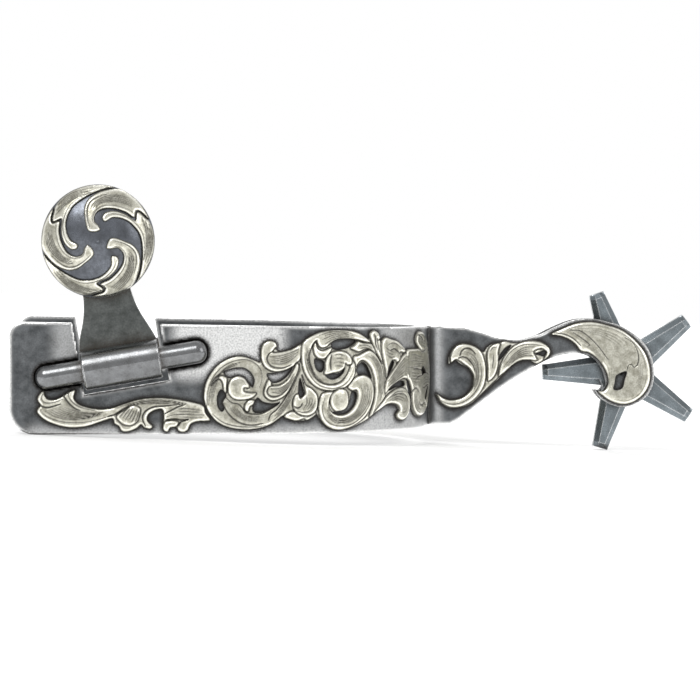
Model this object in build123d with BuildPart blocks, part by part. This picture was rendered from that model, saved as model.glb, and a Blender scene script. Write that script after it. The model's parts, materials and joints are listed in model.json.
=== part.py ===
"""A western spur: heel band, swinging strap buttons, forked shank and a five-point rowel.

Working frame: the axis of the heel curve is the Z axis, the band's lower edge lies in Z = 0, +X points back
to the rowel and +Z points up. The wearer's left is -Y. All pieces are set down on a table at the very end.
"""

import os
from math import acos, atan2, cos, degrees, hypot, radians, sin

from build123d import *

# Heel band
BAND_IN_R = 41.25
BAND_OUT_R = 44.25
BAND_FRONT = 53.9
BAND_FRONT_H = 25.4
BAND_HEEL_H = 23.6
BAND_LOW_CORNER_R = 5.7
BAND_TOP_CORNER_R = 3.6
BAND_EDGE_R = 0.45

# Hinge of the strap button: u runs along the pin, v stands square to it in the side view
PIN_X = -28.8
PIN_Z = 15.7
PIN_TILT = 9.5
PIN_R = 2.6
PIN_LENGTH = 38.8
PIN_OUT = 1.4
SLOT_DEPTH = PIN_R - PIN_OUT
SLOT_LENGTH = 39.6
SLOT_W = 6.0
NOTCH_FRONT_U = -9.3
NOTCH_REAR_U = 10.05
NOTCH_FLOOR_V = -5.3
NOTCH_TOP_V = 16.0
NOTCH_FLOOR_R = 1.2
BARREL_R = 4.4
BARREL_LENGTH = 17.6
BARREL_BORE_R = 2.65
BARREL_EDGE = 0.3
PIN_END_R = 2.3
HANGER_SHOULDER_V = 4.5
HANGER_REAR_WAIST = [(7.7, 7.4), (6.0, 11.5), (4.9, 16.5)]
HANGER_FRONT_WAIST = [(-5.9, 16.5), (-6.9, 11.0), (-8.4, 6.8)]

# Hanger, button and rivet: w runs outwards from the pin's axis
HANGER_IN_W = -4.4
HANGER_T = 2.4
HANGER_FOOT_V = 1.5
BUTTON_U = -0.5
BUTTON_V = 28.2
TAB_R = 5.3
BUTTON_R = 12.7
BUTTON_RIM_H = 1.2
BUTTON_DOME_H = 5.0
RIVET_R = 1.5
RIVET_HEAD_R = 2.8
RIVET_HEAD_H = 0.8
RIVET_GRIP = 2.2

# Silver overlays
OVERLAY_T = 0.9
CHEEK_OVERLAY_T = 0.8
BUTTON_OVERLAY_T = 0.7
BUTTON_RING_IN_R = 10.9

# Shank
ROOT_HALF_W = 7.4
ROOT_PLAN_X = 44.0
WAIST_PLAN_X = 48.6
SHANK_HALF_T = 3.8
SHANK_SWELL_X = 62.0
FORK_PLAN_X = 70.0
FORK_HALF_T = 4.6
FORK_SLOT_W = 4.4
FORK_SLOT_X = 70.5
SHANK_REAR = 104.0
PAD_TOP = (46.0, 23.5)
PAD_FOOT_Z = 0.3

# Rowel
ROWEL_X = 91.2
ROWEL_Z = 12.9
ROWEL_R = 19.4
ROWEL_T = 3.8
ROWEL_EDGE_T = 1.4
ROWEL_HUB_R = 6.2
ROWEL_BORE_R = 1.68
ROWEL_PIN_R = 1.6
ROWEL_SPOKES = 5
ROWEL_FIRST_ANGLE = 37.4
# Each station of a spoke: distance from the rowel's axis, full width, width of the flat crest, thickness
SPOKE_STATIONS = [(3.0, 7.6, 4.5, ROWEL_T), (18.2, 3.86, 1.5, ROWEL_T), (ROWEL_R, 3.7, 1.0, 2.0)]

# Outlines of the overlays on the band: distance back from the start of the heel curve, height
SPRAY_OUTLINE = [
    (-46.3, 9.9), (-47.4, 8.7), (-47.5, 7.6), (-46.9, 6.6), (-47.4, 6.0), (-47.7, 5.2), (-47.0, 4.2),
    (-45.5, 3.1), (-43.0, 2.1), (-40.0, 1.6), (-36.5, 1.9), (-33.0, 3.0), (-30.8, 3.6), (-30.4, 2.5),
    (-29.4, 1.9), (-28.7, 0.8), (-27.2, 0.7), (-25.4, 1.4), (-24.4, 2.2), (-23.6, 1.5), (-22.3, 1.3),
    (-21.8, 1.9), (-22.9, 3.0), (-22.8, 4.4), (-21.4, 5.4), (-19.6, 5.6), (-19.3, 3.6), (-19.5, 2.2),
    (-19.4, 1.1), (-18.4, 0.7), (-17.8, 1.6), (-16.5, 1.6), (-16.0, 0.8), (-14.9, 0.5), (-13.9, 1.0),
    (-13.3, 2.2), (-11.8, 2.9), (-8.9, 3.1), (-9.9, 4.8), (-10.5, 6.5), (-13.5, 7.4), (-17.5, 8.1),
    (-20.8, 8.3), (-24.5, 8.0), (-28.0, 7.0), (-31.5, 5.9), (-35.0, 5.9), (-38.0, 6.7), (-39.4, 8.2),
    (-39.1, 10.1), (-40.4, 9.8), (-41.6, 9.0), (-42.6, 8.4), (-44.0, 7.9), (-45.4, 8.2), (-46.0, 9.1),
]
SCROLL_OUTLINE = [
    (-10.3, 8.5), (-9.6, 12.2), (-7.4, 15.3), (-4.5, 17.1), (-1.5, 17.5), (1.2, 16.6), (2.4, 16.2),
    (2.6, 18.0), (3.2, 20.1), (4.6, 21.0), (5.9, 20.4), (6.0, 19.0), (7.6, 18.4), (9.8, 19.2),
    (12.3, 20.6), (14.3, 22.1), (17.5, 23.1), (21.5, 23.3), (25.5, 22.8), (28.5, 21.4), (29.8, 21.2),
    (30.0, 22.5), (31.2, 23.0), (32.8, 22.5), (33.1, 21.0), (33.6, 20.4), (34.8, 21.4), (36.8, 21.1),
    (40.0, 20.3), (41.8, 19.0), (42.7, 17.6), (42.9, 15.0), (43.0, 12.4), (43.6, 10.2), (44.6, 8.2),
    (45.2, 6.2),
    (44.6, 4.1), (43.2, 2.7), (41.2, 2.2), (39.4, 2.7), (39.2, 3.6), (40.2, 4.4), (39.3, 5.6),
    (37.0, 6.1), (34.5, 5.9), (31.5, 4.1), (28.0, 2.4), (24.5, 1.1), (21.5, 0.7), (18.5, 1.3),
    (16.6, 2.9), (15.4, 4.4), (14.4, 3.7), (12.8, 3.0), (10.8, 2.9), (9.0, 3.6), (7.4, 4.0),
    (4.8, 2.2), (1.5, 1.2), (-2.0, 1.1), (-5.2, 1.7), (-7.8, 3.2), (-9.5, 5.6),
]
SCROLL_VOIDS = [
    [(-5.9, 14.0), (-4.0, 14.8), (-1.5, 15.0), (0.3, 13.9), (1.1, 12.2), (0.7, 10.6), (-0.2, 11.3),
     (-1.3, 12.7), (-3.0, 13.1), (-4.6, 12.6)],
    [(-6.4, 10.1), (-7.3, 8.6), (-7.2, 6.3), (-6.3, 5.1), (-5.6, 5.8), (-6.0, 7.2), (-5.2, 8.8)],
    [(1.7, 8.2), (3.0, 7.3), (5.0, 6.9), (6.8, 7.1), (5.8, 6.2), (3.5, 5.0), (1.2, 4.8), (0.6, 6.0)],
    [(3.8, 13.5), (5.0, 11.6), (7.0, 11.9), (9.0, 13.6), (9.8, 15.2), (8.0, 14.3), (5.6, 13.8)],
    [(11.4, 12.6), (12.0, 11.0), (12.5, 8.8), (11.4, 8.2), (11.0, 10.0)],
    [(19.0, 20.3), (20.5, 21.2), (24.0, 21.3), (25.8, 20.8), (23.8, 19.4), (21.5, 18.9), (19.6, 19.0)],
    [(14.8, 16.8), (16.0, 16.8), (17.3, 16.2), (17.2, 14.4), (16.2, 13.8), (15.1, 14.8)],
    [(17.6, 13.0), (19.0, 13.5), (21.3, 13.6), (22.6, 14.8), (22.2, 13.6), (20.8, 12.5), (19.0, 12.1)],
    [(25.8, 14.4), (27.2, 15.9), (28.8, 15.2), (30.3, 12.2), (29.2, 12.8), (27.8, 13.1), (26.4, 12.9)],
    [(24.3, 9.2), (25.6, 9.2), (26.0, 8.0), (25.4, 6.2), (23.6, 4.6), (21.3, 4.1), (19.3, 4.6),
     (20.8, 4.9), (22.6, 5.3), (23.8, 6.9)],
    [(35.4, 12.4), (35.6, 14.4), (36.9, 16.2), (38.0, 15.8), (37.2, 14.2), (36.3, 12.9)],
    [(35.8, 9.2), (38.0, 10.5), (40.6, 11.3), (42.0, 11.2), (42.2, 10.2), (40.8, 9.9), (38.6, 9.9)],
]
FLOWER_OUTLINE = [
    (43.5, 18.2), (46.0, 18.6), (49.0, 18.6), (50.6, 18.6), (49.5, 19.3), (48.3, 20.5), (48.9, 21.9),
    (50.4, 22.6), (52.6, 22.5), (55.0, 21.5), (57.0, 19.6), (58.6, 17.0), (60.0, 14.8), (60.5, 12.4),
    (60.2, 10.2), (59.4, 8.2), (57.8, 6.2), (56.2, 4.4), (53.8, 3.1), (51.0, 2.7), (48.2, 3.1),
    (46.5, 4.5), (46.0, 6.6), (46.1, 8.8), (45.4, 10.2), (44.7, 11.2), (43.6, 12.0), (43.4, 15.0),
]
FLOWER_VOIDS = [
    [(51.4, 13.7), (52.6, 14.4), (54.4, 13.6), (55.2, 12.7), (53.6, 12.7), (52.0, 12.3)],
    [(54.1, 6.9), (55.0, 8.4), (56.6, 9.6), (57.3, 9.6), (56.2, 7.7), (55.2, 6.6)],
]

# Outlines of the overlays on the shank, seen from the side
LEAF_OUTLINE = [
    (48.9, 14.6), (49.0, 16.4), (49.9, 18.2), (51.3, 19.3), (53.3, 19.4), (55.5, 18.6), (57.2, 17.4),
    (58.0, 18.4), (59.2, 19.2), (60.9, 19.5), (62.4, 19.9), (64.3, 19.5), (66.3, 19.6), (68.6, 20.1),
    (70.9, 19.9), (72.6, 18.8), (73.3, 17.4), (72.7, 16.1), (71.4, 15.3), (69.8, 14.6), (68.2, 15.4),
    (66.0, 15.2), (64.0, 14.0), (61.5, 11.6), (59.2, 9.4), (57.0, 7.4), (54.5, 5.2), (52.0, 4.2),
    (49.5, 4.0), (47.5, 4.8), (46.3, 6.0), (45.8, 7.6), (47.6, 6.5), (49.5, 6.0), (51.9, 6.4),
    (53.7, 7.8), (54.6, 9.6), (54.6, 11.8), (53.4, 13.6), (51.6, 14.6), (50.6, 15.4), (49.8, 15.0),
]
LEAF_VOIDS = [
    [(69.4, 16.9), (70.6, 16.6), (71.6, 16.3), (72.3, 17.3), (71.6, 17.8), (70.6, 17.4)],
    [(60.8, 15.2), (61.2, 16.8), (62.5, 18.4), (63.9, 19.0), (62.4, 16.8)],
]
CAP_OUTLINE = [
    (73.4, 21.6), (76.0, 22.9), (79.5, 24.2), (83.2, 24.5), (87.0, 23.7), (90.6, 22.4), (93.8, 19.8),
    (96.2, 16.6), (97.2, 12.6), (96.8, 9.4), (95.2, 6.9), (92.8, 5.3), (90.4, 4.9), (88.0, 5.5),
    (86.0, 6.7), (84.6, 8.1), (86.0, 8.1), (87.0, 9.6), (87.0, 11.2), (86.2, 13.4), (84.6, 15.6),
    (82.4, 17.2), (80.5, 17.6), (79.4, 19.0), (77.6, 20.4), (75.4, 21.2),
]
CAP_VOIDS = [
    [(88.3, 8.5), (88.6, 10.2), (89.0, 11.8), (91.4, 12.7), (90.9, 10.6), (90.5, 8.9), (89.4, 8.3)],
]

# One swirled leaf of the button, about the button's centre: distance, bearing in degrees
SWIRL_LEAF = [
    (11.4, 0), (10.2, 24), (8.6, 44), (7.0, 66), (5.6, 90), (4.0, 116), (2.4, 140), (1.0, 110),
    (2.4, 70), (4.2, 44), (5.6, 20), (6.6, -6), (7.9, -26), (9.6, -34), (11.4, -30),
]
SWIRL_LEAVES = 3

# Side outline of the shank: over the top and round the curled cheek, then back under the fork to the root
SHANK_TOP = [
    (53.1, 23.1), (56.6, 22.1), (60.2, 20.9), (63.8, 20.2), (67.3, 20.3), (70.9, 21.5), (74.4, 23.2),
    (78.9, 24.9), (83.7, 25.2), (87.0, 24.5), (90.6, 23.3), (95.1, 20.2), (97.4, 16.8), (98.2, 12.4),
    (97.5, 8.3), (95.4, 5.9), (92.6, 4.5), (90.0, 4.2), (87.5, 4.9), (85.3, 6.5), (84.0, 8.5),
]
SHANK_UNDER = [
    (84.0, 8.5), (85.5, 7.9), (86.6, 9.3), (86.4, 11.3), (85.4, 13.8), (83.6, 15.9), (80.8, 16.9),
    (77.5, 16.9), (74.4, 16.2), (71.2, 14.8), (66.1, 11.9), (61.4, 8.8), (54.2, 3.5), (51.6, 1.5),
    (49.3, 0.3),
]


def side_point(u, v):
    """Point of the side view at u along the hinge pin and v square to it."""
    tilt = radians(PIN_TILT)
    return (PIN_X + u * cos(tilt) - v * sin(tilt), PIN_Z + u * sin(tilt) + v * cos(tilt))


def along_band(points):
    """Side view of points measured along the band's outer face."""
    return [(s if s <= 0 else BAND_OUT_R * sin(s / BAND_OUT_R), z) for s, z in points]


def behind_band(points):
    """Rear view, on the left half, of points measured along the band's outer face."""
    return [(-BAND_OUT_R * cos(s / BAND_OUT_R), z) for s, z in points]


def closed_curve(points, mode=Mode.ADD):
    """Face inside a smooth closed curve through the points."""
    with BuildLine() as curve:
        Spline(*points, periodic=True)
    make_face(curve.edges(), mode=mode)


def cut_out(outline, voids):
    """Sheet shape of an overlay: its outline less the gaps between its leaves."""
    closed_curve(outline)
    for void in voids:
        closed_curve(void, mode=Mode.SUBTRACT)


def horseshoe(inner_r, outer_r):
    """Plan of a strip bent round the heel, with two straight branches to the front."""
    Circle(outer_r)
    with Locations((-BAND_FRONT / 2, 0)):
        Rectangle(BAND_FRONT, 2 * outer_r)
    Circle(inner_r, mode=Mode.SUBTRACT)
    with Locations((-BAND_FRONT / 2, 0)):
        Rectangle(BAND_FRONT, 2 * inner_r, mode=Mode.SUBTRACT)


def shank_plan(grow):
    """Plan of the shank, from the pad at the band to the fork, grown sideways by an overlay's thickness."""
    root = (ROOT_PLAN_X + grow, ROOT_HALF_W + grow)
    waist = (WAIST_PLAN_X, SHANK_HALF_T + grow)
    with BuildLine() as half:
        Line((BAND_IN_R, 0), (BAND_IN_R, ROOT_HALF_W + grow))
        Line((BAND_IN_R, ROOT_HALF_W + grow), root)
        Spline(root, waist, tangents=[(0.35, -1), (1, 0)])
        Line(waist, (SHANK_SWELL_X, SHANK_HALF_T + grow))
        Spline(
            (SHANK_SWELL_X, SHANK_HALF_T + grow),
            (FORK_PLAN_X, FORK_HALF_T + grow),
            tangents=[(1, 0), (1, 0)],
        )
        Line((FORK_PLAN_X, FORK_HALF_T + grow), (SHANK_REAR, FORK_HALF_T + grow))
        Line((SHANK_REAR, FORK_HALF_T + grow), (SHANK_REAR, 0))
        mirror(about=Plane.XZ)
    make_face(half.edges())


pin_dir = (cos(radians(PIN_TILT)), 0, sin(radians(PIN_TILT)))
pin_y = -(BAND_OUT_R + PIN_OUT)
hinge_plane = Plane(origin=(PIN_X, pin_y, PIN_Z), x_dir=pin_dir, z_dir=(0, -1, 0))
button_plane = Plane(hinge_plane.from_local_coords((BUTTON_U, BUTTON_V, HANGER_IN_W + HANGER_T)),
                     x_dir=pin_dir, z_dir=(0, -1, 0))
along_pin = Plane(hinge_plane.origin, x_dir=(0, -1, 0), z_dir=pin_dir)

# Heel band: a strip bent round the heel, trimmed to its side outline
with BuildPart() as heel_band:
    with BuildSketch(Plane.XY):
        horseshoe(BAND_IN_R, BAND_OUT_R)
    extrude(amount=BAND_FRONT_H)
    with BuildSketch(Plane.XZ) as side_outline:
        with BuildLine():
            Polyline(
                (-BAND_FRONT, 0), (BAND_OUT_R, 0), (BAND_OUT_R, BAND_HEEL_H),
                (-BAND_FRONT, BAND_FRONT_H), close=True,
            )
        make_face()
        low_corner = side_outline.vertices().sort_by(Axis.X)[:2].sort_by(Axis.Y)[0]
        fillet(low_corner, BAND_LOW_CORNER_R)
        fillet(side_outline.vertices().sort_by(Axis.Y)[-1], BAND_TOP_CORNER_R)
    extrude(amount=2 * BAND_OUT_R, both=True, mode=Mode.INTERSECT)

    outer_rim = [
        edge for edge in heel_band.edges()
        if all(abs(hypot(max(p.X, 0), p.Y) - BAND_OUT_R) < 0.01 for p in (edge @ 0, edge @ 0.5, edge @ 1))
    ]
    fillet(outer_rim, BAND_EDGE_R)
    with BuildSketch(Plane.XZ) as notch:
        with BuildLine():
            Polyline(
                side_point(NOTCH_FRONT_U, NOTCH_TOP_V), side_point(NOTCH_FRONT_U, NOTCH_FLOOR_V),
                side_point(NOTCH_REAR_U, NOTCH_FLOOR_V), side_point(NOTCH_REAR_U, NOTCH_TOP_V), close=True,
            )
        make_face()
        fillet(notch.vertices().sort_by(Axis.Y)[:2], NOTCH_FLOOR_R)
    extrude(amount=2 * BAND_OUT_R, both=True, mode=Mode.SUBTRACT)
    for side, inward in ((-1, -SLOT_DEPTH), (1, SLOT_DEPTH)):
        with BuildSketch(Plane((PIN_X, side * BAND_OUT_R, PIN_Z), x_dir=pin_dir, z_dir=(0, -1, 0))):
            SlotOverall(SLOT_LENGTH, SLOT_W)
        extrude(amount=inward, mode=Mode.SUBTRACT)

# Hinge pin: a round bar with rounded ends, brazed into the slot
with BuildPart(along_pin) as hinge_pin_left:
    Cylinder(PIN_R, PIN_LENGTH)
    fillet(hinge_pin_left.edges().filter_by(GeomType.CIRCLE), PIN_END_R)

# Hinge barrel: a tube that turns on the pin
with BuildPart(along_pin) as hinge_barrel_left:
    Cylinder(BARREL_R, BARREL_LENGTH)
    Cylinder(BARREL_BORE_R, BARREL_LENGTH, mode=Mode.SUBTRACT)
    chamfer(hinge_barrel_left.edges().filter_by(GeomType.CIRCLE).group_by(SortBy.RADIUS)[-1], BARREL_EDGE)

# Hanger: a flat arm brazed to the barrel, waisted, with a round tab behind the button
with BuildPart() as button_hanger_left:
    with BuildSketch(hinge_plane.offset(HANGER_IN_W)):
        with BuildLine():
            front_foot = (-BARREL_LENGTH / 2, HANGER_SHOULDER_V)
            rear_foot = (BARREL_LENGTH / 2, HANGER_SHOULDER_V)
            front_tab = (BUTTON_U - TAB_R, BUTTON_V)
            rear_tab = (BUTTON_U + TAB_R, BUTTON_V)
            Polyline(
                front_foot, (-BARREL_LENGTH / 2, HANGER_FOOT_V), (BARREL_LENGTH / 2, HANGER_FOOT_V), rear_foot,
            )
            Spline(rear_foot, *HANGER_REAR_WAIST, rear_tab)
            ThreePointArc(rear_tab, (BUTTON_U, BUTTON_V + TAB_R), front_tab)
            Spline(front_tab, *HANGER_FRONT_WAIST, front_foot)
        make_face()
    extrude(amount=HANGER_T)
    with Locations(along_pin.location):
        Cylinder(BARREL_R, BARREL_LENGTH * 2, mode=Mode.SUBTRACT)
    with Locations(button_plane.location):
        Cylinder(RIVET_R, 4 * HANGER_T, mode=Mode.SUBTRACT)

# Button: a domed disc with a blind hole for the rivet
dome_r = (BUTTON_R**2 + BUTTON_DOME_H**2) / (2 * BUTTON_DOME_H)
dome_centre = BUTTON_RIM_H + BUTTON_DOME_H - dome_r
with BuildPart(button_plane) as button_left:
    Cylinder(BUTTON_R, BUTTON_RIM_H + BUTTON_DOME_H, align=(Align.CENTER, Align.CENTER, Align.MIN))
    with Locations((0, 0, dome_centre)):
        Sphere(dome_r, mode=Mode.INTERSECT)
    Cylinder(RIVET_R, RIVET_GRIP, align=(Align.CENTER, Align.CENTER, Align.MIN), mode=Mode.SUBTRACT)

# Rivet: clenched over a low head on the hanger's inner face
with BuildPart(button_plane) as button_rivet_left:
    Cylinder(RIVET_R, RIVET_GRIP, align=(Align.CENTER, Align.CENTER, Align.MIN))
    Cylinder(RIVET_R, HANGER_T, align=(Align.CENTER, Align.CENTER, Align.MAX))
    with Locations((0, 0, -HANGER_T)):
        Cylinder(RIVET_HEAD_R, RIVET_HEAD_H, align=(Align.CENTER, Align.CENTER, Align.MAX))

# Button overlay: a rim ring with three swirled leaves lying on the dome
with BuildPart(button_plane) as button_scroll_left:
    with BuildSketch(button_plane):
        Circle(BUTTON_R)
        Circle(BUTTON_RING_IN_R, mode=Mode.SUBTRACT)
        for turn in range(SWIRL_LEAVES):
            bearings = [(r, radians(a + 360 * turn / SWIRL_LEAVES)) for r, a in SWIRL_LEAF]
            closed_curve([(r * cos(a), r * sin(a)) for r, a in bearings])
    extrude(amount=2 * BUTTON_DOME_H)
    with Locations((0, 0, dome_centre)):
        Sphere(dome_r + BUTTON_OVERLAY_T, mode=Mode.INTERSECT)
        Sphere(dome_r, mode=Mode.SUBTRACT)


def band_overlay(outline, voids, plane):
    """Thin plate lying on the outer face of the left branch, drawn in the given view."""
    with BuildPart() as plate:
        with BuildSketch(plane):
            cut_out(outline, voids)
        extrude(amount=2 * BAND_OUT_R)
        with BuildSketch(Plane.XY):
            horseshoe(BAND_OUT_R, BAND_OUT_R + OVERLAY_T)
        extrude(amount=BAND_FRONT_H, mode=Mode.INTERSECT)
    return plate


def shank_overlay(outline, voids, thickness):
    """Thin plate lying on the left side of the shank."""
    with BuildPart() as plate:
        with BuildSketch(Plane.XZ):
            cut_out(outline, voids)
        extrude(amount=2 * ROOT_HALF_W)
        with BuildSketch(Plane.XY):
            shank_plan(thickness)
        extrude(amount=2 * BAND_FRONT_H, mode=Mode.INTERSECT)
        with BuildSketch(Plane.XY):
            shank_plan(0)
        extrude(amount=2 * BAND_FRONT_H, mode=Mode.SUBTRACT)
    return plate


band_leaf_spray_left = band_overlay(along_band(SPRAY_OUTLINE), [], Plane.XZ)
band_scroll_left = band_overlay(
    along_band(SCROLL_OUTLINE), [along_band(void) for void in SCROLL_VOIDS], Plane.XZ
)
band_flower_left = band_overlay(
    behind_band(FLOWER_OUTLINE), [behind_band(void) for void in FLOWER_VOIDS], Plane.YZ
)
shank_leaf_left = shank_overlay(LEAF_OUTLINE, LEAF_VOIDS, OVERLAY_T)
rowel_cap_leaf_left = shank_overlay(CAP_OUTLINE, CAP_VOIDS, CHEEK_OVERLAY_T)

# Shank: its side outline trimmed to its plan, slotted from the rear for the rowel
with BuildPart() as shank:
    with BuildSketch(Plane.XZ):
        with BuildLine():
            Polyline(SHANK_UNDER[-1], (BAND_IN_R, PAD_FOOT_Z), (BAND_IN_R, BAND_HEEL_H), PAD_TOP, SHANK_TOP[0])
            Spline(*SHANK_TOP)
            Spline(*SHANK_UNDER)
        make_face()
    extrude(amount=2 * ROOT_HALF_W, both=True)
    with BuildSketch(Plane.XY):
        shank_plan(0)
    extrude(amount=2 * BAND_FRONT_H, mode=Mode.INTERSECT)
    Cylinder(BAND_OUT_R, 4 * BAND_FRONT_H, mode=Mode.SUBTRACT)
    with BuildSketch(Plane.XY):
        with Locations((FORK_SLOT_X + SHANK_REAR / 2, 0)):
            SlotOverall(SHANK_REAR, FORK_SLOT_W)
    extrude(amount=2 * BAND_FRONT_H, mode=Mode.SUBTRACT)
    with Locations(Plane((ROWEL_X, 0, ROWEL_Z), z_dir=(0, -1, 0)).location):
        Cylinder(ROWEL_PIN_R, 4 * FORK_HALF_T, mode=Mode.SUBTRACT)

# Rowel: blunt bevelled spokes about a hub
rowel_plane = Plane((ROWEL_X, 0, ROWEL_Z), x_dir=(1, 0, 0), z_dir=(0, -1, 0))
with BuildPart(rowel_plane) as rowel:
    Cylinder(ROWEL_HUB_R, ROWEL_T)
    for spoke in range(ROWEL_SPOKES):
        bearing = radians(ROWEL_FIRST_ANGLE + 360 * spoke / ROWEL_SPOKES)
        outwards = Vector(cos(bearing), 0, sin(bearing))
        across = Vector(-sin(bearing), 0, cos(bearing))
        for distance, width, crest, thickness in SPOKE_STATIONS:
            with BuildSketch(Plane(rowel_plane.origin + outwards * distance, x_dir=across, z_dir=outwards)):
                Polygon(
                    (width / 2, ROWEL_EDGE_T / 2), (crest / 2, thickness / 2), (-crest / 2, thickness / 2),
                    (-width / 2, ROWEL_EDGE_T / 2), (-width / 2, -ROWEL_EDGE_T / 2), (-crest / 2, -thickness / 2),
                    (crest / 2, -thickness / 2), (width / 2, -ROWEL_EDGE_T / 2), align=None,
                )
        loft(ruled=True)
    Cylinder(ROWEL_BORE_R, 2 * ROWEL_T, mode=Mode.SUBTRACT)

# Rowel pin: riveted flush through both cheeks of the fork
with BuildPart(rowel_plane) as rowel_pin:
    Cylinder(ROWEL_PIN_R, 2 * FORK_HALF_T)

# The right-hand pieces mirror the left-hand ones
left_pieces = {
    "hinge_pin": hinge_pin_left,
    "hinge_barrel": hinge_barrel_left,
    "button_hanger": button_hanger_left,
    "button": button_left,
    "button_rivet": button_rivet_left,
    "button_scroll": button_scroll_left,
    "band_leaf_spray": band_leaf_spray_left,
    "band_scroll": band_scroll_left,
    "band_flower": band_flower_left,
    "shank_leaf": shank_leaf_left,
    "rowel_cap_leaf": rowel_cap_leaf_left,
}
pieces = {"heel_band": heel_band, "shank": shank, "rowel": rowel, "rowel_pin": rowel_pin}
for name, left in left_pieces.items():
    with BuildPart() as right:
        mirror(left.part, about=Plane.XZ)
    pieces[f"{name}_left"] = left
    pieces[f"{name}_right"] = right

# Standing pose: the band's rounded front corners and the lowest rowel point share one level
tip_bearing = radians(ROWEL_FIRST_ANGLE + 3 * 360 / ROWEL_SPOKES)
tip_half_w = SPOKE_STATIONS[-1][1] / 2
tip_x = ROWEL_X + ROWEL_R * cos(tip_bearing) - tip_half_w * sin(tip_bearing)
tip_z = ROWEL_Z + ROWEL_R * sin(tip_bearing) + tip_half_w * cos(tip_bearing)
span_x = tip_x - (BAND_LOW_CORNER_R - BAND_FRONT)
span_z = BAND_LOW_CORNER_R - tip_z
lean = acos(BAND_LOW_CORNER_R / hypot(span_x, span_z)) - atan2(span_x, span_z)
pitched = Location((0, 0, 0), (0, -degrees(lean), 0))
box = Compound([pitched * piece.part for piece in pieces.values()]).bounding_box()
stand = Location((-box.center().X, -box.center().Y, -box.min.Z)) * pitched

os.makedirs("parts", exist_ok=True)
for name, piece in pieces.items():
    piece.part.move(stand)
    piece.part.label = name
    export_step(piece.part, f"parts/{name}.step")
    print(name, round(piece.part.volume, 1), len(piece.part.solids()))
print("lean", degrees(lean), "box", box.size)
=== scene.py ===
# %% [markdown]
# # A western spur, from packed frame to finished looks
# The spur is a U of steel strip round the boot's heel. It carries two swinging buttons for the strap,
# a forked shank with a rowel, and engraved silver leaves soldered on top of the dark steel.
# The packed frame already has every piece in its place and at its size.
# What it lacks is the engraver's work and the finish of the metal, and that is what this lesson makes.

import json
import math

import bmesh
import bpy
import numpy as np
from mathutils import Matrix, Vector
from mathutils.bvhtree import BVHTree
from mathutils.geometry import delaunay_2d_cdt


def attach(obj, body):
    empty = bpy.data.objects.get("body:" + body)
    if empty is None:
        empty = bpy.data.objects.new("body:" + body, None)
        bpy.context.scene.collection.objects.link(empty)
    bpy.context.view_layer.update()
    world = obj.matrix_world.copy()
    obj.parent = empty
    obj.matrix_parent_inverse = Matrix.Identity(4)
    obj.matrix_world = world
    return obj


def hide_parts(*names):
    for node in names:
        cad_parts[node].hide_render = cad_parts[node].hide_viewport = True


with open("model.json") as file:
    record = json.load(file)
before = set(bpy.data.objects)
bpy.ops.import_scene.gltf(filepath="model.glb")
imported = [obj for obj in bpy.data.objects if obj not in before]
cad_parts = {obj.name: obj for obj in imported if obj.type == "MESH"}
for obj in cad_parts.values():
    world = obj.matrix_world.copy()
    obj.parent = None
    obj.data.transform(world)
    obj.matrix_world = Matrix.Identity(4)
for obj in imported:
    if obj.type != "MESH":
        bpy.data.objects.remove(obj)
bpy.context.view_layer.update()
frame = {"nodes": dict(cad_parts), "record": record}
nodes = frame["nodes"]
print("pieces in the frame:", len(nodes))

# %% [markdown]
# The spur stands on a table, so it is pitched a little. Drawing its ornament is easier in the smith's own frame,
# where the band's lower edge lies flat and the heel's curve turns about the vertical.
# The record says where the boot's heel goes, and that gives the smith's frame back.
# Everything is drawn in millimetres there and carried over by one matrix.

# %% The smith's frame
MM = 0.001
BAND_IN_R = 41.25
BAND_OUT_R = 44.25
BAND_MID_HEEL = 11.8
heel_cup = next(m for m in frame["record"]["mounts"] if m["name"] == "heel_cup")
up = Vector(heel_cup["axis"]).normalized()
back = Vector((up.z, 0, -up.x))
origin = Vector(heel_cup["pos_m"]) - up * BAND_MID_HEEL * MM
smith = Matrix((
    (back.x, 0, up.x, origin.x),
    (0, 1, 0, origin.y),
    (back.z, 0, up.z, origin.z),
    (0, 0, 0, 1),
))


def to_row(points):
    """Millimetres in the smith's frame to metres in the row frame."""
    m = np.array(smith)
    return np.asarray(points) * MM @ m[:3, :3].T + m[:3, 3]


print("pitch of the standing spur:", round(math.degrees(math.asin(-up.x)), 2), "degrees")

# %% [markdown]
# Engraving is drawn as smooth lines through a few points, as an engraver scribes them.
# A curve that passes through every point with even bends is a Catmull-Rom spline, and a few samples
# between each two points are enough at this scale.

# %% Smooth lines through a few points
def smooth(points, closed=False, per_span=6):
    """Samples along the curve through the points."""
    p = np.asarray(points, float)
    if closed:
        p = np.vstack([p[-1:], p, p[:2]])
    else:
        p = np.vstack([2 * p[0] - p[1], p, 2 * p[-1] - p[-2]])
    t = np.linspace(0, 1, per_span, endpoint=False)[None, :, None]
    a, b, c, d = (p[i:len(p) - 3 + i, None, :] for i in range(4))
    curve = 0.5 * (2 * b + (c - a) * t + (2 * a - 5 * b + 4 * c - d) * t**2 + (3 * b - a - 3 * c + d) * t**3)
    curve = curve.reshape(-1, p.shape[1])
    return curve if closed else np.vstack([curve, p[-2]])


print("a line through 3 points has", len(smooth([(0, 0), (1, 1), (2, 0)])), "samples")
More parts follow.
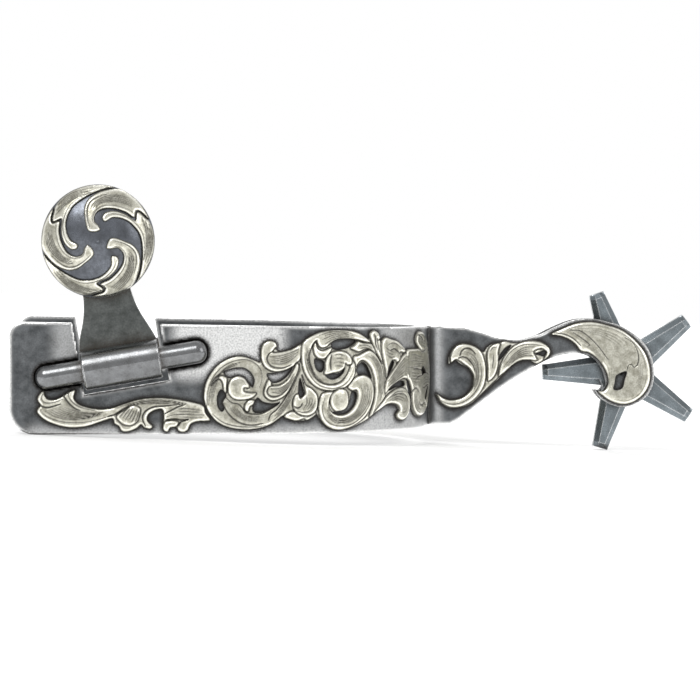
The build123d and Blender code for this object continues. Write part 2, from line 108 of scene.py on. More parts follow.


# %% [markdown]
# Each silver leaf is cut from sheet and then carved: its rim is rolled over, grooves are cut with a graver,
# and black wax is rubbed into whatever lies low. A sculptor's way is a height map on a fine grid,
# because overlapping leaves, rolled rims and grooves are all simple sums of distances to drawn lines.
# The grid keeps four things: how far inside the outline a point is, the height, the black in the cuts with
# painted shade, and the wear of the ridges with painted highlights. This class is that sheet of silver.

# %% A carved sheet
class Sheet:
    """Height map of carved metal over a flat drawing, in millimetres."""

    LINE_BLACK, LINE_WIDTH = 0.75, 0.45
    RIM_SHINE, RIM_PLACE = 0.85, 1.25
    # Painted shade in a leaf's middle: how dark, and how far in it starts and fades in, in widths of the black line
    HOLLOW_BLACK, HOLLOW_START, HOLLOW_FADE = 0.26, 2.2, 3.0
    STEP_DOWN = 0.35
    TONE_WIDTH = 3.2

    def __init__(self, low, high, pitch):
        self.pitch = pitch
        self.u = np.arange(low[0], high[0] + pitch, pitch)
        self.v = np.arange(low[1], high[1] + pitch, pitch)
        shape = (len(self.u), len(self.v))
        self.inside = np.full(shape, -9.0)
        self.height = np.zeros(shape)
        self.ink = np.zeros(shape)
        self.wear_and_highlight = np.zeros(shape)

    def near(self, line, margin):
        """Index ranges of the grid near a line, and the grid points there."""
        lo, hi = line.min(0) - margin, line.max(0) + margin
        i0, i1 = np.searchsorted(self.u, (lo[0], hi[0]))
        j0, j1 = np.searchsorted(self.v, (lo[1], hi[1]))
        part = (slice(i0, max(i1, i0 + 1)), slice(j0, max(j1, j0 + 1)))
        gu, gv = np.meshgrid(self.u[part[0]], self.v[part[1]], indexing="ij")
        return part, gu, gv

    @staticmethod
    def distance(line, gu, gv):
        """Distance from each grid point to a line, and how far along the line the nearest point is, 0 to 1."""
        best, along = np.full(gu.shape, 1e9), np.zeros(gu.shape)
        count = len(line) - 1
        for k in range(count):
            (x0, y0), (x1, y1) = line[k], line[k + 1]
            dx, dy = x1 - x0, y1 - y0
            t = np.clip(((gu - x0) * dx + (gv - y0) * dy) / (dx * dx + dy * dy + 1e-12), 0, 1)
            d = np.hypot(gu - x0 - t * dx, gv - y0 - t * dy)
            closer = d < best
            best[closer] = d[closer]
            along[closer] = ((k + t) / count)[closer]
        return best, along

    def depth_in(self, line, gu, gv):
        """Signed distance to a closed line, positive inside."""
        loop = np.vstack([line, line[:1]])
        best, _ = self.distance(loop, gu, gv)
        within = np.zeros(gu.shape, bool)
        for (x0, y0), (x1, y1) in zip(loop[:-1], loop[1:]):
            if y0 != y1:
                crosses = (y0 > gv) != (y1 > gv)
                within ^= crosses & (gu < x0 + (gv - y0) * (x1 - x0) / (y1 - y0))
        return np.where(within, best, -best)

    def leaf(self, outline, top=0.8, edge=0.45, rim=0.5, black=0.32):
        """Lays a leaf over what is there. Its border rises from edge to top over the width rim."""
        line = smooth(outline, closed=True, per_span=4)
        part, gu, gv = self.near(line, 1.0)
        d = self.depth_in(line, gu, gv)
        swell = np.sin(np.clip(d / rim, 0, 1) * np.pi / 2)
        under = (d <= 0) & (self.inside[part] > 0)
        shade = np.exp(-((d / black) ** 2))
        self.height[part] = np.where(d > 0, edge + (top - edge) * swell,
                                     self.height[part] - under * self.STEP_DOWN * shade)
        narrow = self.LINE_WIDTH * black
        line_black = self.LINE_BLACK * np.exp(-((d / narrow) ** 2))
        # The leaf's middle is painted darker, a painted shade that deepens away from its outline
        centre_shade = self.HOLLOW_BLACK * np.clip((d - self.HOLLOW_START * black) / (self.HOLLOW_FADE * black), 0, 1)
        self.ink[part] = np.where(d > 0, np.maximum(line_black, centre_shade), np.maximum(self.ink[part], shade))
        # A line along the rolled rim is painted bright, part rubbed wear and part painted highlight
        rim_line = self.RIM_SHINE * np.exp(-(((d - self.RIM_PLACE * black) / narrow) ** 2))
        self.wear_and_highlight[part] = np.where(d > 0, rim_line, self.wear_and_highlight[part])
        self.inside[part] = np.maximum(self.inside[part], d)

    def join(self, low, high, top):
        """Smooths away the rims where two sheets meet inside a window."""
        i, j = np.searchsorted(self.u, (low[0], high[0])), np.searchsorted(self.v, (low[1], high[1]))
        part = (slice(*i), slice(*j))
        laid = self.inside[part] > 0
        self.height[part] = np.where(laid, top, self.height[part])
        self.ink[part] = np.where(laid, 0, self.ink[part])
        self.wear_and_highlight[part] = np.where(laid, 0, self.wear_and_highlight[part])

    def gap(self, outline):
        """Saws an opening through the sheet."""
        line = smooth(outline, closed=True, per_span=4)
        part, gu, gv = self.near(line, 1.0)
        d = self.depth_in(line, gu, gv)
        self.inside[part] = np.minimum(self.inside[part], -d)
        self.ink[part] = np.maximum(self.ink[part], np.exp(-((d / 0.15) ** 2)))

    def cut(self, points, width=0.16, depth=0.16, black=0.9, taper=0.6):
        """Cuts a groove along a line, finer towards its ends."""
        line = smooth(points, per_span=5)
        part, gu, gv = self.near(line, 4 * width)
        d, along = self.distance(line, gu, gv)
        w = width * (1 - taper * np.abs(2 * along - 1) ** 2)
        v = np.exp(-((d / w) ** 2))
        self.height[part] -= depth * v
        self.ink[part] = np.maximum(self.ink[part], black * v)
        self.wear_and_highlight[part] *= 1 - v

    def shade_lines(self, first, last, count, width=0.11, depth=0.09, black=0.95, tone=0.5):
        """Cuts a fan of fine grooves between two lines, on a soft grey tone of the black they hold."""
        a, b = smooth(first, per_span=5), smooth(last, per_span=5)
        n = max(len(a), len(b))
        spread = np.linspace(0, 1, n)
        a = np.column_stack([np.interp(spread, np.linspace(0, 1, len(a)), a[:, k]) for k in (0, 1)])
        b = np.column_stack([np.interp(spread, np.linspace(0, 1, len(b)), b[:, k]) for k in (0, 1)])
        for k in range(count):
            f = k / max(count - 1, 1)
            trim = (2 + 3 * (k % 2)) * n // 40
            line = (a * (1 - f) + b * f)[trim:n - trim]
            line = line[:: max(1, len(line) // 6)]
            self.cut(line, self.TONE_WIDTH * width, 0.0, tone * black)
            self.cut(line, width, depth, black)

    def bead(self, centre, radius, rise=0.35):
        """Raises a round boss."""
        ring = np.array(centre) + radius * np.array([(1, 0), (0, 1), (-1, 0), (0, -1)])
        part, gu, gv = self.near(ring, 0.3)
        d = np.hypot(gu - centre[0], gv - centre[1]) / radius
        self.height[part] += rise * np.sqrt(np.clip(1 - d**2, 0, 1))


print("a carved sheet holds:", [name for name in vars(Sheet((0, 0), (1, 1), 0.5))])


# %% [markdown]
# The height map becomes a mesh with clean borders by marching squares: each grid cell is cut where the outline
# crosses it, so the saw line is smooth even on a coarse grid. The rim gets a wall down to the steel
# and a flat underside, so that every leaf is a closed solid, as the soldered sheet is.

# %% From carved sheet to mesh
# Corners 0-3 go round a cell, and 4-7 are the crossings on its sides, from side 0-1 on
CELL_FACES = {
    1: [(0, 4, 7)], 2: [(1, 5, 4)], 4: [(2, 6, 5)], 8: [(3, 7, 6)],
    3: [(0, 1, 5, 7)], 6: [(1, 2, 6, 4)], 12: [(2, 3, 7, 5)], 9: [(3, 0, 4, 6)],
    5: [(0, 4, 7), (2, 6, 5)], 10: [(1, 5, 4), (3, 7, 6)],
    7: [(0, 1, 2, 6, 7)], 14: [(1, 2, 3, 7, 4)], 13: [(2, 3, 0, 4, 5)], 11: [(3, 0, 1, 5, 6)],
    15: [(0, 1, 2, 3)],
}


def cut_sheet(sheet):
    """Drawing points, height, black with painted shade, depth inside the outline, and wear with painted highlight, then
    faces and border edges.
    """
    nu, nv = len(sheet.u), len(sheet.v)
    f = sheet.inside.copy()
    f[[0, -1], :] = -1
    f[:, [0, -1]] = -1
    small = 0.05 * sheet.pitch
    f = np.where(np.abs(f) < small, np.where(f > 0, small, -small), f)
    gu, gv = np.meshgrid(sheet.u, sheet.v, indexing="ij")
    field = np.stack([gu, gv, sheet.height, sheet.ink, f, sheet.wear_and_highlight], -1)

    def crossing(fa, fb, a, b):
        t = np.clip(fa / np.where(fa == fb, 1, fa - fb), 0, 1)[..., None]
        return a * (1 - t) + b * t

    along_u = crossing(f[:-1], f[1:], field[:-1], field[1:])
    along_v = crossing(f[:, :-1], f[:, 1:], field[:, :-1], field[:, 1:])
    values = np.vstack([grid.reshape(-1, 6) for grid in (field, along_u, along_v)])
    base_u, base_v = nu * nv, nu * nv + (nu - 1) * nv
    i, j = np.meshgrid(np.arange(nu - 1), np.arange(nv - 1), indexing="ij")
    ids = np.stack([
        i * nv + j, (i + 1) * nv + j, (i + 1) * nv + j + 1, i * nv + j + 1,
        base_u + i * nv + j, base_v + (i + 1) * (nv - 1) + j, base_u + i * nv + j + 1, base_v + i * (nv - 1) + j,
    ], -1)
    case = sum((f[a:nu - 1 + a, b:nv - 1 + b] > 0) * w for a, b, w in ((0, 0, 1), (1, 0, 2), (1, 1, 4), (0, 1, 8)))
    faces, border = [], []
    for number, shapes in CELL_FACES.items():
        cells = ids[case == number]
        for shape in shapes:
            faces += cells[:, shape].tolist()
            for a, b in zip(shape, shape[1:] + shape[:1]):
                if a > 3 and b > 3:
                    border += cells[:, (a, b)].tolist()
    used = np.unique(np.concatenate([np.array(face) for face in faces]))
    place = np.full(len(values), -1)
    place[used] = np.arange(len(used))
    faces = [[int(place[k]) for k in face] for face in faces]
    return values[used], faces, place[np.array(border)]


def inside_at(sheet, u, v):
    """How far inside the outline points of a drawing are, negative outside it."""
    a = np.clip((u - sheet.u[0]) / sheet.pitch, 0, len(sheet.u) - 1.001)
    b = np.clip((v - sheet.v[0]) / sheet.pitch, 0, len(sheet.v) - 1.001)
    i, j = a.astype(int), b.astype(int)
    a, b = a - i, b - j
    f = sheet.inside
    low = (1 - a) * (1 - b) * f[i, j] + a * (1 - b) * f[i + 1, j]
    high = (1 - a) * b * f[i, j + 1] + a * b * f[i + 1, j + 1]
    return low + high


def solid_from_sheet(sheet, wrap, floor=-0.06):
    """Closed mesh of a carved sheet, bent on to its seat by wrap(u, v, height)."""
    values, faces, border = cut_sheet(sheet)
    count = len(values)
    rim = np.unique(border)
    rim_place = np.full(count, -1)
    rim_place[rim] = np.arange(len(rim))
    flat = [Vector(p) for p in values[rim, :2]]
    edges = [(int(rim_place[a]), int(rim_place[b])) for a, b in border]
    _, _, under, *_ = delaunay_2d_cdt(flat, edges, [], 0, 1e-6)
    drawn = values[rim, :2]
    for tri in under:
        if max(tri) >= len(rim):
            continue
        if inside_at(sheet, *drawn[list(tri)].mean(0)) > 0:
            faces.append([count + k for k in reversed(tri)])
    for a, b in border.tolist():
        faces.append([b, a, count + int(rim_place[a]), count + int(rim_place[b])])
    top = wrap(values[:, 0], values[:, 1], np.maximum(values[:, 2], 0.05))
    low = wrap(drawn[:, 0], drawn[:, 1], np.full(len(rim), floor))
    ink = np.concatenate([values[:, 3], np.ones(len(rim))])
    wear_and_highlight = np.concatenate([values[:, 5], np.zeros(len(rim))])
    return np.vstack([top, low]), faces, {"ink": ink, "edge": wear_and_highlight}


def plate_from_sheet(sheet, wrap, thickness):
    """Closed mesh of a sheet of even thickness, for plate that bends too far for a flat underside."""
    values, faces, border = cut_sheet(sheet)
    count = len(values)
    top = wrap(values[:, 0], values[:, 1], values[:, 2])
    low = wrap(values[:, 0], values[:, 1], np.full(count, -thickness))
    faces += [[count + k for k in reversed(face)] for face in faces]
    faces += [[b, a, count + a, count + b] for a, b in border.tolist()]
    ink = np.concatenate([values[:, 3], np.zeros(count)])
    # The outline's border is painted bright, part rubbed wear and part painted highlight on the filed edge
    edge = np.exp(-((values[:, 4] / 0.45) ** 2))
    edge = np.concatenate([np.maximum(edge, values[:, 5]), edge])
    return np.vstack([top, low]), faces, {"ink": ink, "edge": edge}


print("cell shapes known:", len(CELL_FACES))


# %% [markdown]
# A finished mesh is turned into a piece that rides on its body and stands for its CAD node.
# The wearer's right side is the mirror image of the left, so one drawing serves both.

# %% Pieces for both sides
SHARP_FROM = math.radians(45)


def piece(name, points, faces, marks, body, stands_for, slot, finish, mirrored=False):
    """One mesh object from points in the smith's frame, with its per-point marks."""
    points = np.array(points, float)
    if mirrored:
        points[:, 1] *= -1
        faces = [face[::-1] for face in faces]
    mesh = bpy.data.meshes.new(name)
    mesh.from_pydata(to_row(points).tolist(), [], faces)
    for mark, values in marks.items():
        layer = mesh.attributes.new(mark, "FLOAT", "POINT")
        layer.data.foreach_set("value", np.clip(values, 0, 1).astype(np.float32))
    mesh.polygons.foreach_set("use_smooth", [True] * len(mesh.polygons))
    mesh.set_sharp_from_angle(angle=SHARP_FROM)
    mesh.materials.append(finish)
    mesh.update()
    thing = bpy.data.objects.new(name, mesh)
    bpy.context.scene.collection.objects.link(thing)
    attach(thing, body)
    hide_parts(*stands_for)
    print(name, "faces:", len(mesh.polygons))
    return thing


def both_sides(name, points, faces, marks, body, stands_for, slot, finish):
    """The left piece and its mirror image on the right."""
    for side, mirrored in (("left", False), ("right", True)):
        piece(f"{name}_{side}", points, faces, marks, body.format(side), [n.format(side) for n in stands_for],
              slot, finish, mirrored)


# %% [markdown]
# Every overlay was sawn to an outline before it was carved, and the frame's pieces have just these outlines.
# On the band they are measured along the outer face from where the heel's curve starts, and up from the lower edge;
# on the shank they are measured back from the heel's centre. The gaps are where the steel shows through.

# %% Outlines the silver was sawn to
SPRAY_OUTLINE = [
    (-46.3, 9.9), (-47.4, 8.7), (-47.5, 7.6), (-46.9, 6.6), (-47.4, 6.0), (-47.7, 5.2), (-47.0, 4.2),
    (-45.5, 3.1), (-43.0, 2.1), (-40.0, 1.6), (-36.5, 1.9), (-33.0, 3.0), (-30.8, 3.6), (-30.4, 2.5),
    (-29.4, 1.9), (-28.7, 0.8), (-27.2, 0.7), (-25.4, 1.4), (-24.4, 2.2), (-23.6, 1.5), (-22.3, 1.3),
    (-21.8, 1.9), (-22.9, 3.0), (-22.8, 4.4), (-21.4, 5.4), (-19.6, 5.6), (-19.3, 3.6), (-19.5, 2.2),
    (-19.4, 1.1), (-18.4, 0.7), (-17.8, 1.6), (-16.5, 1.6), (-16.0, 0.8), (-14.9, 0.5), (-13.9, 1.0),
    (-13.3, 2.2), (-11.8, 2.9), (-8.9, 3.1), (-9.9, 4.8), (-10.5, 6.5), (-13.5, 7.4), (-17.5, 8.1),
    (-20.8, 8.3), (-24.5, 8.0), (-28.0, 7.0), (-31.5, 5.9), (-35.0, 5.9), (-38.0, 6.7), (-39.4, 8.2),
    (-39.1, 10.1), (-40.4, 9.8), (-41.6, 9.0), (-42.6, 8.4), (-44.0, 7.9), (-45.4, 8.2), (-46.0, 9.1),
]
SCROLL_OUTLINE = [
    (-10.3, 8.5), (-9.6, 12.2), (-7.4, 15.3), (-4.5, 17.1), (-1.5, 17.5), (1.2, 16.6), (2.4, 16.2),
    (2.6, 18.0), (3.2, 20.1), (4.6, 21.0), (5.9, 20.4), (6.0, 19.0), (7.6, 18.4), (9.8, 19.2),
    (12.3, 20.6), (14.3, 22.1), (17.5, 23.1), (21.5, 23.3), (25.5, 22.8), (28.5, 21.4), (29.8, 21.2),
    (30.0, 22.5), (31.2, 23.0), (32.8, 22.5), (33.1, 21.0), (33.6, 20.4), (34.8, 21.4), (36.8, 21.1),
    (40.0, 20.3), (41.8, 19.0), (43.2, 17.8), (43.45, 15.0), (43.3, 12.4), (43.6, 10.2), (44.6, 8.2),
    (45.2, 6.2),
    (44.6, 4.1), (43.2, 2.7), (41.2, 2.2), (39.4, 2.7), (39.2, 3.6), (40.2, 4.4), (39.3, 5.6),
    (37.0, 6.1), (34.5, 5.9), (31.5, 4.1), (28.0, 2.4), (24.5, 1.1), (21.5, 0.7), (18.5, 1.3),
    (16.6, 2.9), (15.4, 4.4), (14.4, 3.7), (12.8, 3.0), (10.8, 2.9), (9.0, 3.6), (7.4, 4.0),
    (4.8, 2.2), (1.5, 1.2), (-2.0, 1.1), (-5.2, 1.7), (-7.8, 3.2), (-9.5, 5.6),
]
SCROLL_VOIDS = [
    [(-5.9, 14.0), (-4.0, 14.8), (-1.5, 15.0), (0.3, 13.9), (1.1, 12.2), (0.7, 10.6), (-0.2, 11.3),
     (-1.3, 12.7), (-3.0, 13.1), (-4.6, 12.6)],
    [(-6.4, 10.1), (-7.3, 8.6), (-7.2, 6.3), (-6.3, 5.1), (-5.6, 5.8), (-6.0, 7.2), (-5.2, 8.8)],
    [(1.7, 8.2), (3.0, 7.3), (5.0, 6.9), (6.8, 7.1), (5.8, 6.2), (3.5, 5.0), (1.2, 4.8), (0.6, 6.0)],
    [(3.8, 13.5), (5.0, 11.6), (7.0, 11.9), (9.0, 13.6), (9.8, 15.2), (8.0, 14.3), (5.6, 13.8)],
    [(11.4, 12.6), (12.0, 11.0), (12.5, 8.8), (11.4, 8.2), (11.0, 10.0)],
    [(19.0, 20.3), (20.5, 21.2), (24.0, 21.3), (25.8, 20.8), (23.8, 19.4), (21.5, 18.9), (19.6, 19.0)],
    [(14.8, 16.8), (16.0, 16.8), (17.3, 16.2), (17.2, 14.4), (16.2, 13.8), (15.1, 14.8)],
    [(17.6, 13.0), (19.0, 13.5), (21.3, 13.6), (22.6, 14.8), (22.2, 13.6), (20.8, 12.5), (19.0, 12.1)],
    [(25.8, 14.4), (27.2, 15.9), (28.8, 15.2), (30.3, 12.2), (29.2, 12.8), (27.8, 13.1), (26.4, 12.9)],
    [(24.3, 9.2), (25.6, 9.2), (26.0, 8.0), (25.4, 6.2), (23.6, 4.6), (21.3, 4.1), (19.3, 4.6),
     (20.8, 4.9), (22.6, 5.3), (23.8, 6.9)],
    [(35.4, 12.4), (35.6, 14.4), (36.9, 16.2), (38.0, 15.8), (37.2, 14.2), (36.3, 12.9)],
    [(35.8, 9.2), (38.0, 10.5), (40.6, 11.3), (42.0, 11.2), (42.2, 10.2), (40.8, 9.9), (38.6, 9.9)],
]
FLOWER_OUTLINE = [
    (43.5, 18.2), (46.0, 18.6), (49.0, 18.6), (50.6, 18.6), (49.5, 19.3), (48.3, 20.5), (48.9, 21.9),
    (50.4, 22.6), (52.6, 22.5), (55.0, 21.5), (57.0, 19.6), (58.6, 17.0), (60.0, 14.8), (60.5, 12.4),
    (60.2, 10.2), (59.4, 8.2), (57.8, 6.2), (56.2, 4.4), (53.8, 3.1), (51.0, 2.7), (48.2, 3.1),
    (46.5, 4.5), (46.0, 6.6), (46.1, 8.8), (45.4, 10.2), (44.7, 11.2), (43.6, 12.0), (43.4, 15.0),
]
FLOWER_VOIDS = [
    [(51.4, 13.7), (52.6, 14.4), (54.4, 13.6), (55.2, 12.7), (53.6, 12.7), (52.0, 12.3)],
    [(54.1, 6.9), (55.0, 8.4), (56.6, 9.6), (57.3, 9.6), (56.2, 7.7), (55.2, 6.6)],
]
LEAF_OUTLINE = [
    (48.9, 14.6), (49.0, 16.4), (49.9, 18.2), (51.3, 19.3), (53.3, 19.4), (55.5, 18.6), (57.2, 17.4),
    (58.0, 18.4), (59.2, 19.2), (60.9, 19.5), (62.4, 19.9), (64.3, 19.5), (66.3, 19.6), (68.6, 20.1),
    (70.9, 19.9), (72.6, 18.8), (73.3, 17.4), (72.7, 16.1), (71.4, 15.3), (69.8, 14.6), (68.2, 15.4),
    (66.0, 15.2), (64.0, 14.0), (61.5, 11.6), (59.2, 9.4), (57.0, 7.4), (54.5, 5.2), (52.0, 4.2),
    (49.5, 4.0), (47.5, 4.8), (46.3, 6.0), (45.8, 7.6), (47.6, 6.5), (49.5, 6.0), (51.9, 6.4),
    (53.7, 7.8), (54.6, 9.6), (54.6, 11.8), (53.4, 13.6), (51.6, 14.6), (50.6, 15.4), (49.8, 15.0),
]
LEAF_VOIDS = [
    [(69.4, 16.9), (70.6, 16.6), (71.6, 16.3), (72.3, 17.3), (71.6, 17.8), (70.6, 17.4)],
    [(60.8, 15.2), (61.2, 16.8), (62.5, 18.4), (63.9, 19.0), (62.4, 16.8)],
]
CAP_OUTLINE = [
    (73.4, 21.6), (76.0, 22.9), (79.5, 24.2), (83.2, 24.5), (87.0, 23.7), (90.6, 22.4), (93.8, 19.8),
    (96.2, 16.6), (97.2, 12.6), (96.8, 9.4), (95.2, 6.9), (92.8, 5.3), (90.4, 4.9), (88.0, 5.5),
    (86.0, 6.7), (84.6, 8.1), (86.0, 8.1), (87.0, 9.6), (87.0, 11.2), (86.2, 13.4), (84.6, 15.6),
    (82.4, 17.2), (80.5, 17.6), (79.4, 19.0), (77.6, 20.4), (75.4, 21.2),
]
CAP_VOIDS = [
    [(88.3, 8.5), (88.6, 10.2), (89.0, 11.8), (91.4, 12.7), (90.9, 10.6), (90.5, 8.9), (89.4, 8.3)],
]
print("gaps sawn:", sum(len(gaps) for gaps in (SCROLL_VOIDS, FLOWER_VOIDS, LEAF_VOIDS, CAP_VOIDS)))


# %% [markdown]
# The silver is laid on three kinds of seat: the band, which is flat and then bends round the heel;
# the side of the shank, which swells and narrows; and the dome of the button.
# A drawing is bent on to its seat by a small function that takes the drawing's two directions and a height.
# The shank's swelling is read off the shank itself, so the silver is sure to touch it.

# %% The three seats
def on_band(s, z, height):
    """Along the outer face, s from where the left branch bends into the heel's curve."""
    half_turn = math.pi * BAND_OUT_R
    turn = np.clip(s, 0, half_turn) / BAND_OUT_R
    reach = BAND_OUT_R + height
    along = np.minimum(s, 0) - np.maximum(s - half_turn, 0)
    return np.stack([along + reach * np.sin(turn), -reach * np.cos(turn), z], -1)


shank_points = np.array([v.co for v in nodes["shank"].data.vertices])
shank_points = (shank_points - np.array(smith)[:3, 3]) @ np.array(smith)[:3, :3] / MM
SHANK_STEPS = np.array([44.0, 44.6, 45.2, 45.8, 46.4, 47.0, 47.8, 48.6, 55.0, 62.0, 64.0, 66.0, 68.0, 70.0, 98.0])
shank_tree = BVHTree.FromPolygons(
    [tuple(p) for p in shank_points], [tuple(f.vertices) for f in nodes["shank"].data.polygons])


def shank_half_width(x):
    """How far the shank's left side stands from its middle plane at x."""
    hits = [shank_tree.ray_cast(Vector((x, -30, z)), Vector((0, 1, 0)))[0] for z in np.arange(6.0, 24.0, 1.5)]
    return max(-hit.y for hit in hits if hit)


shank_half = np.array([shank_half_width(x) for x in SHANK_STEPS])


def on_shank(x, z, height):
    """On the left side of the shank, raised square to its swelling side."""
    half = np.interp(x, SHANK_STEPS, shank_half)
    slope = (np.interp(x + 0.3, SHANK_STEPS, shank_half) - np.interp(x - 0.3, SHANK_STEPS, shank_half)) / 0.6
    square = np.sqrt(1 + slope**2)
    return np.stack([x - height * slope / square, -(half + height / square), z], -1)


PIN = np.array((-28.8, -45.65, 15.7))
PIN_TILT = math.radians(9.5)
ALONG_PIN = np.array((math.cos(PIN_TILT), 0, math.sin(PIN_TILT)))
UP_HANGER = np.array((-math.sin(PIN_TILT), 0, math.cos(PIN_TILT)))
BUTTON_R = 12.7
DOME_R = (BUTTON_R**2 + 5.0**2) / (2 * 5.0)
BUTTON_BACK = PIN - 0.5 * ALONG_PIN + 28.2 * UP_HANGER + np.array((0, 2.0, 0))


def on_button(u, v, height):
    """On the dome of the left button, about its centre."""
    rise = np.sqrt(np.maximum((DOME_R + height) ** 2 - u**2 - v**2, 0)) + 6.2 - DOME_R
    return BUTTON_BACK + u[:, None] * ALONG_PIN + v[:, None] * UP_HANGER - rise[:, None] * np.array((0, 1, 0))


print("shank half width at its swell:", np.round(shank_half[[0, 7, 13]], 2), "mm")

# %% [markdown]
# At the front of each branch lies a spray: a crescent with hooked lobes, a ribbed fan, and leaves
# that curl down to the band's edge. The engraver cuts the parting lines deep and black first,
# then fills the leaves with fine lines that follow their curl.

# %% Leaf spray at the front of the band
PITCH = 0.16
spray = Sheet((-48.5, -0.1), (-8.0, 11.0), PITCH)
spray.leaf(SPRAY_OUTLINE, top=0.75)
spray.leaf([(-29.9, 3.9), (-29.6, 4.7), (-28.0, 5.8), (-26.0, 6.6), (-24.6, 5.8), (-24.8, 4.2), (-25.3, 2.9),
            (-26.6, 2.0), (-28.2, 2.2), (-29.3, 3.0)], rim=0.7)
spray.leaf([(-18.9, 2.9), (-19.5, 1.9), (-19.3, 0.9), (-18.4, 0.6), (-17.8, 1.5), (-16.6, 1.7), (-15.9, 2.4),
            (-16.6, 3.1)], rim=0.5)
for deep in (
    [(-47.2, 6.9), (-46.5, 6.35), (-45.3, 6.1), (-44.0, 6.4), (-42.4, 6.9)],
    [(-41.7, 8.8), (-41.2, 7.9), (-40.2, 6.7), (-39.0, 5.8), (-37.9, 5.4)],
    [(-31.8, 4.1), (-30.5, 4.4), (-29.6, 4.8), (-28.4, 5.4), (-27.0, 6.3)],
    [(-23.4, 1.9), (-24.1, 3.6), (-23.4, 5.2), (-21.4, 6.2), (-18.8, 6.4), (-15.6, 6.8)],
    [(-19.1, 4.6), (-17.6, 5.4), (-16.0, 6.2), (-14.4, 6.7)],
    [(-19.0, 3.2), (-17.0, 3.4), (-15.2, 3.2), (-13.8, 3.4)],
    [(-16.2, 2.0), (-15.4, 2.8), (-13.8, 3.3)],
):
    spray.cut(deep, width=0.26, depth=0.32, black=1.0)
for fine in (
    [(-46.9, 5.7), (-46.2, 4.7), (-44.8, 3.8), (-42.8, 3.1), (-40.3, 2.7), (-37.2, 2.75), (-34.0, 3.4), (-31.0, 4.3)],
    [(-40.7, 9.6), (-40.5, 8.4), (-39.8, 7.4), (-38.6, 6.5), (-36.8, 5.8), (-34.4, 5.4)],
    [(-46.3, 9.3), (-46.7, 8.3), (-46.2, 7.4), (-45.0, 7.1), (-43.4, 7.4), (-41.8, 8.0)],
    [(-18.6, 4.0), (-16.9, 4.4), (-15.0, 4.5), (-12.6, 4.6)],
):
    spray.cut(fine)
spray.shade_lines([(-46.2, 5.6), (-44.0, 4.3), (-41.0, 3.5), (-37.0, 3.6), (-33.0, 4.5)],
                  [(-41.8, 6.3), (-40.0, 5.6), (-38.0, 5.1), (-35.0, 4.9), (-32.5, 5.1)], 7)
spray.shade_lines([(-27.2, 6.1), (-28.3, 5.0), (-29.2, 3.9)], [(-24.9, 5.4), (-25.2, 4.0), (-25.8, 2.7)], 6,
                  width=0.12, depth=0.16, black=1.0)
spray.shade_lines([(-31.0, 5.6), (-27.0, 6.9), (-23.0, 7.7), (-19.0, 7.7), (-15.0, 7.1), (-11.0, 6.0)],
                  [(-27.0, 6.5), (-25.0, 6.8), (-22.5, 7.0), (-19.0, 6.9), (-16.0, 6.9), (-11.5, 5.0)], 4)
spray.shade_lines([(-17.0, 5.7), (-14.0, 5.8), (-10.8, 5.4)], [(-15.5, 4.0), (-13.0, 3.8), (-10.0, 3.9)], 4)
print("highest of the spray:", round(float(spray.height.max()), 2), "mm")

# %% [markdown]
# Behind the hinge the scrollwork starts. Three spirals roll up round a ball, and each throws off leaves
# that overlap the next. Laying the leaves one over another in the order the silversmith would,
# lowest first, gives every overlap its step and its black line without drawing them.

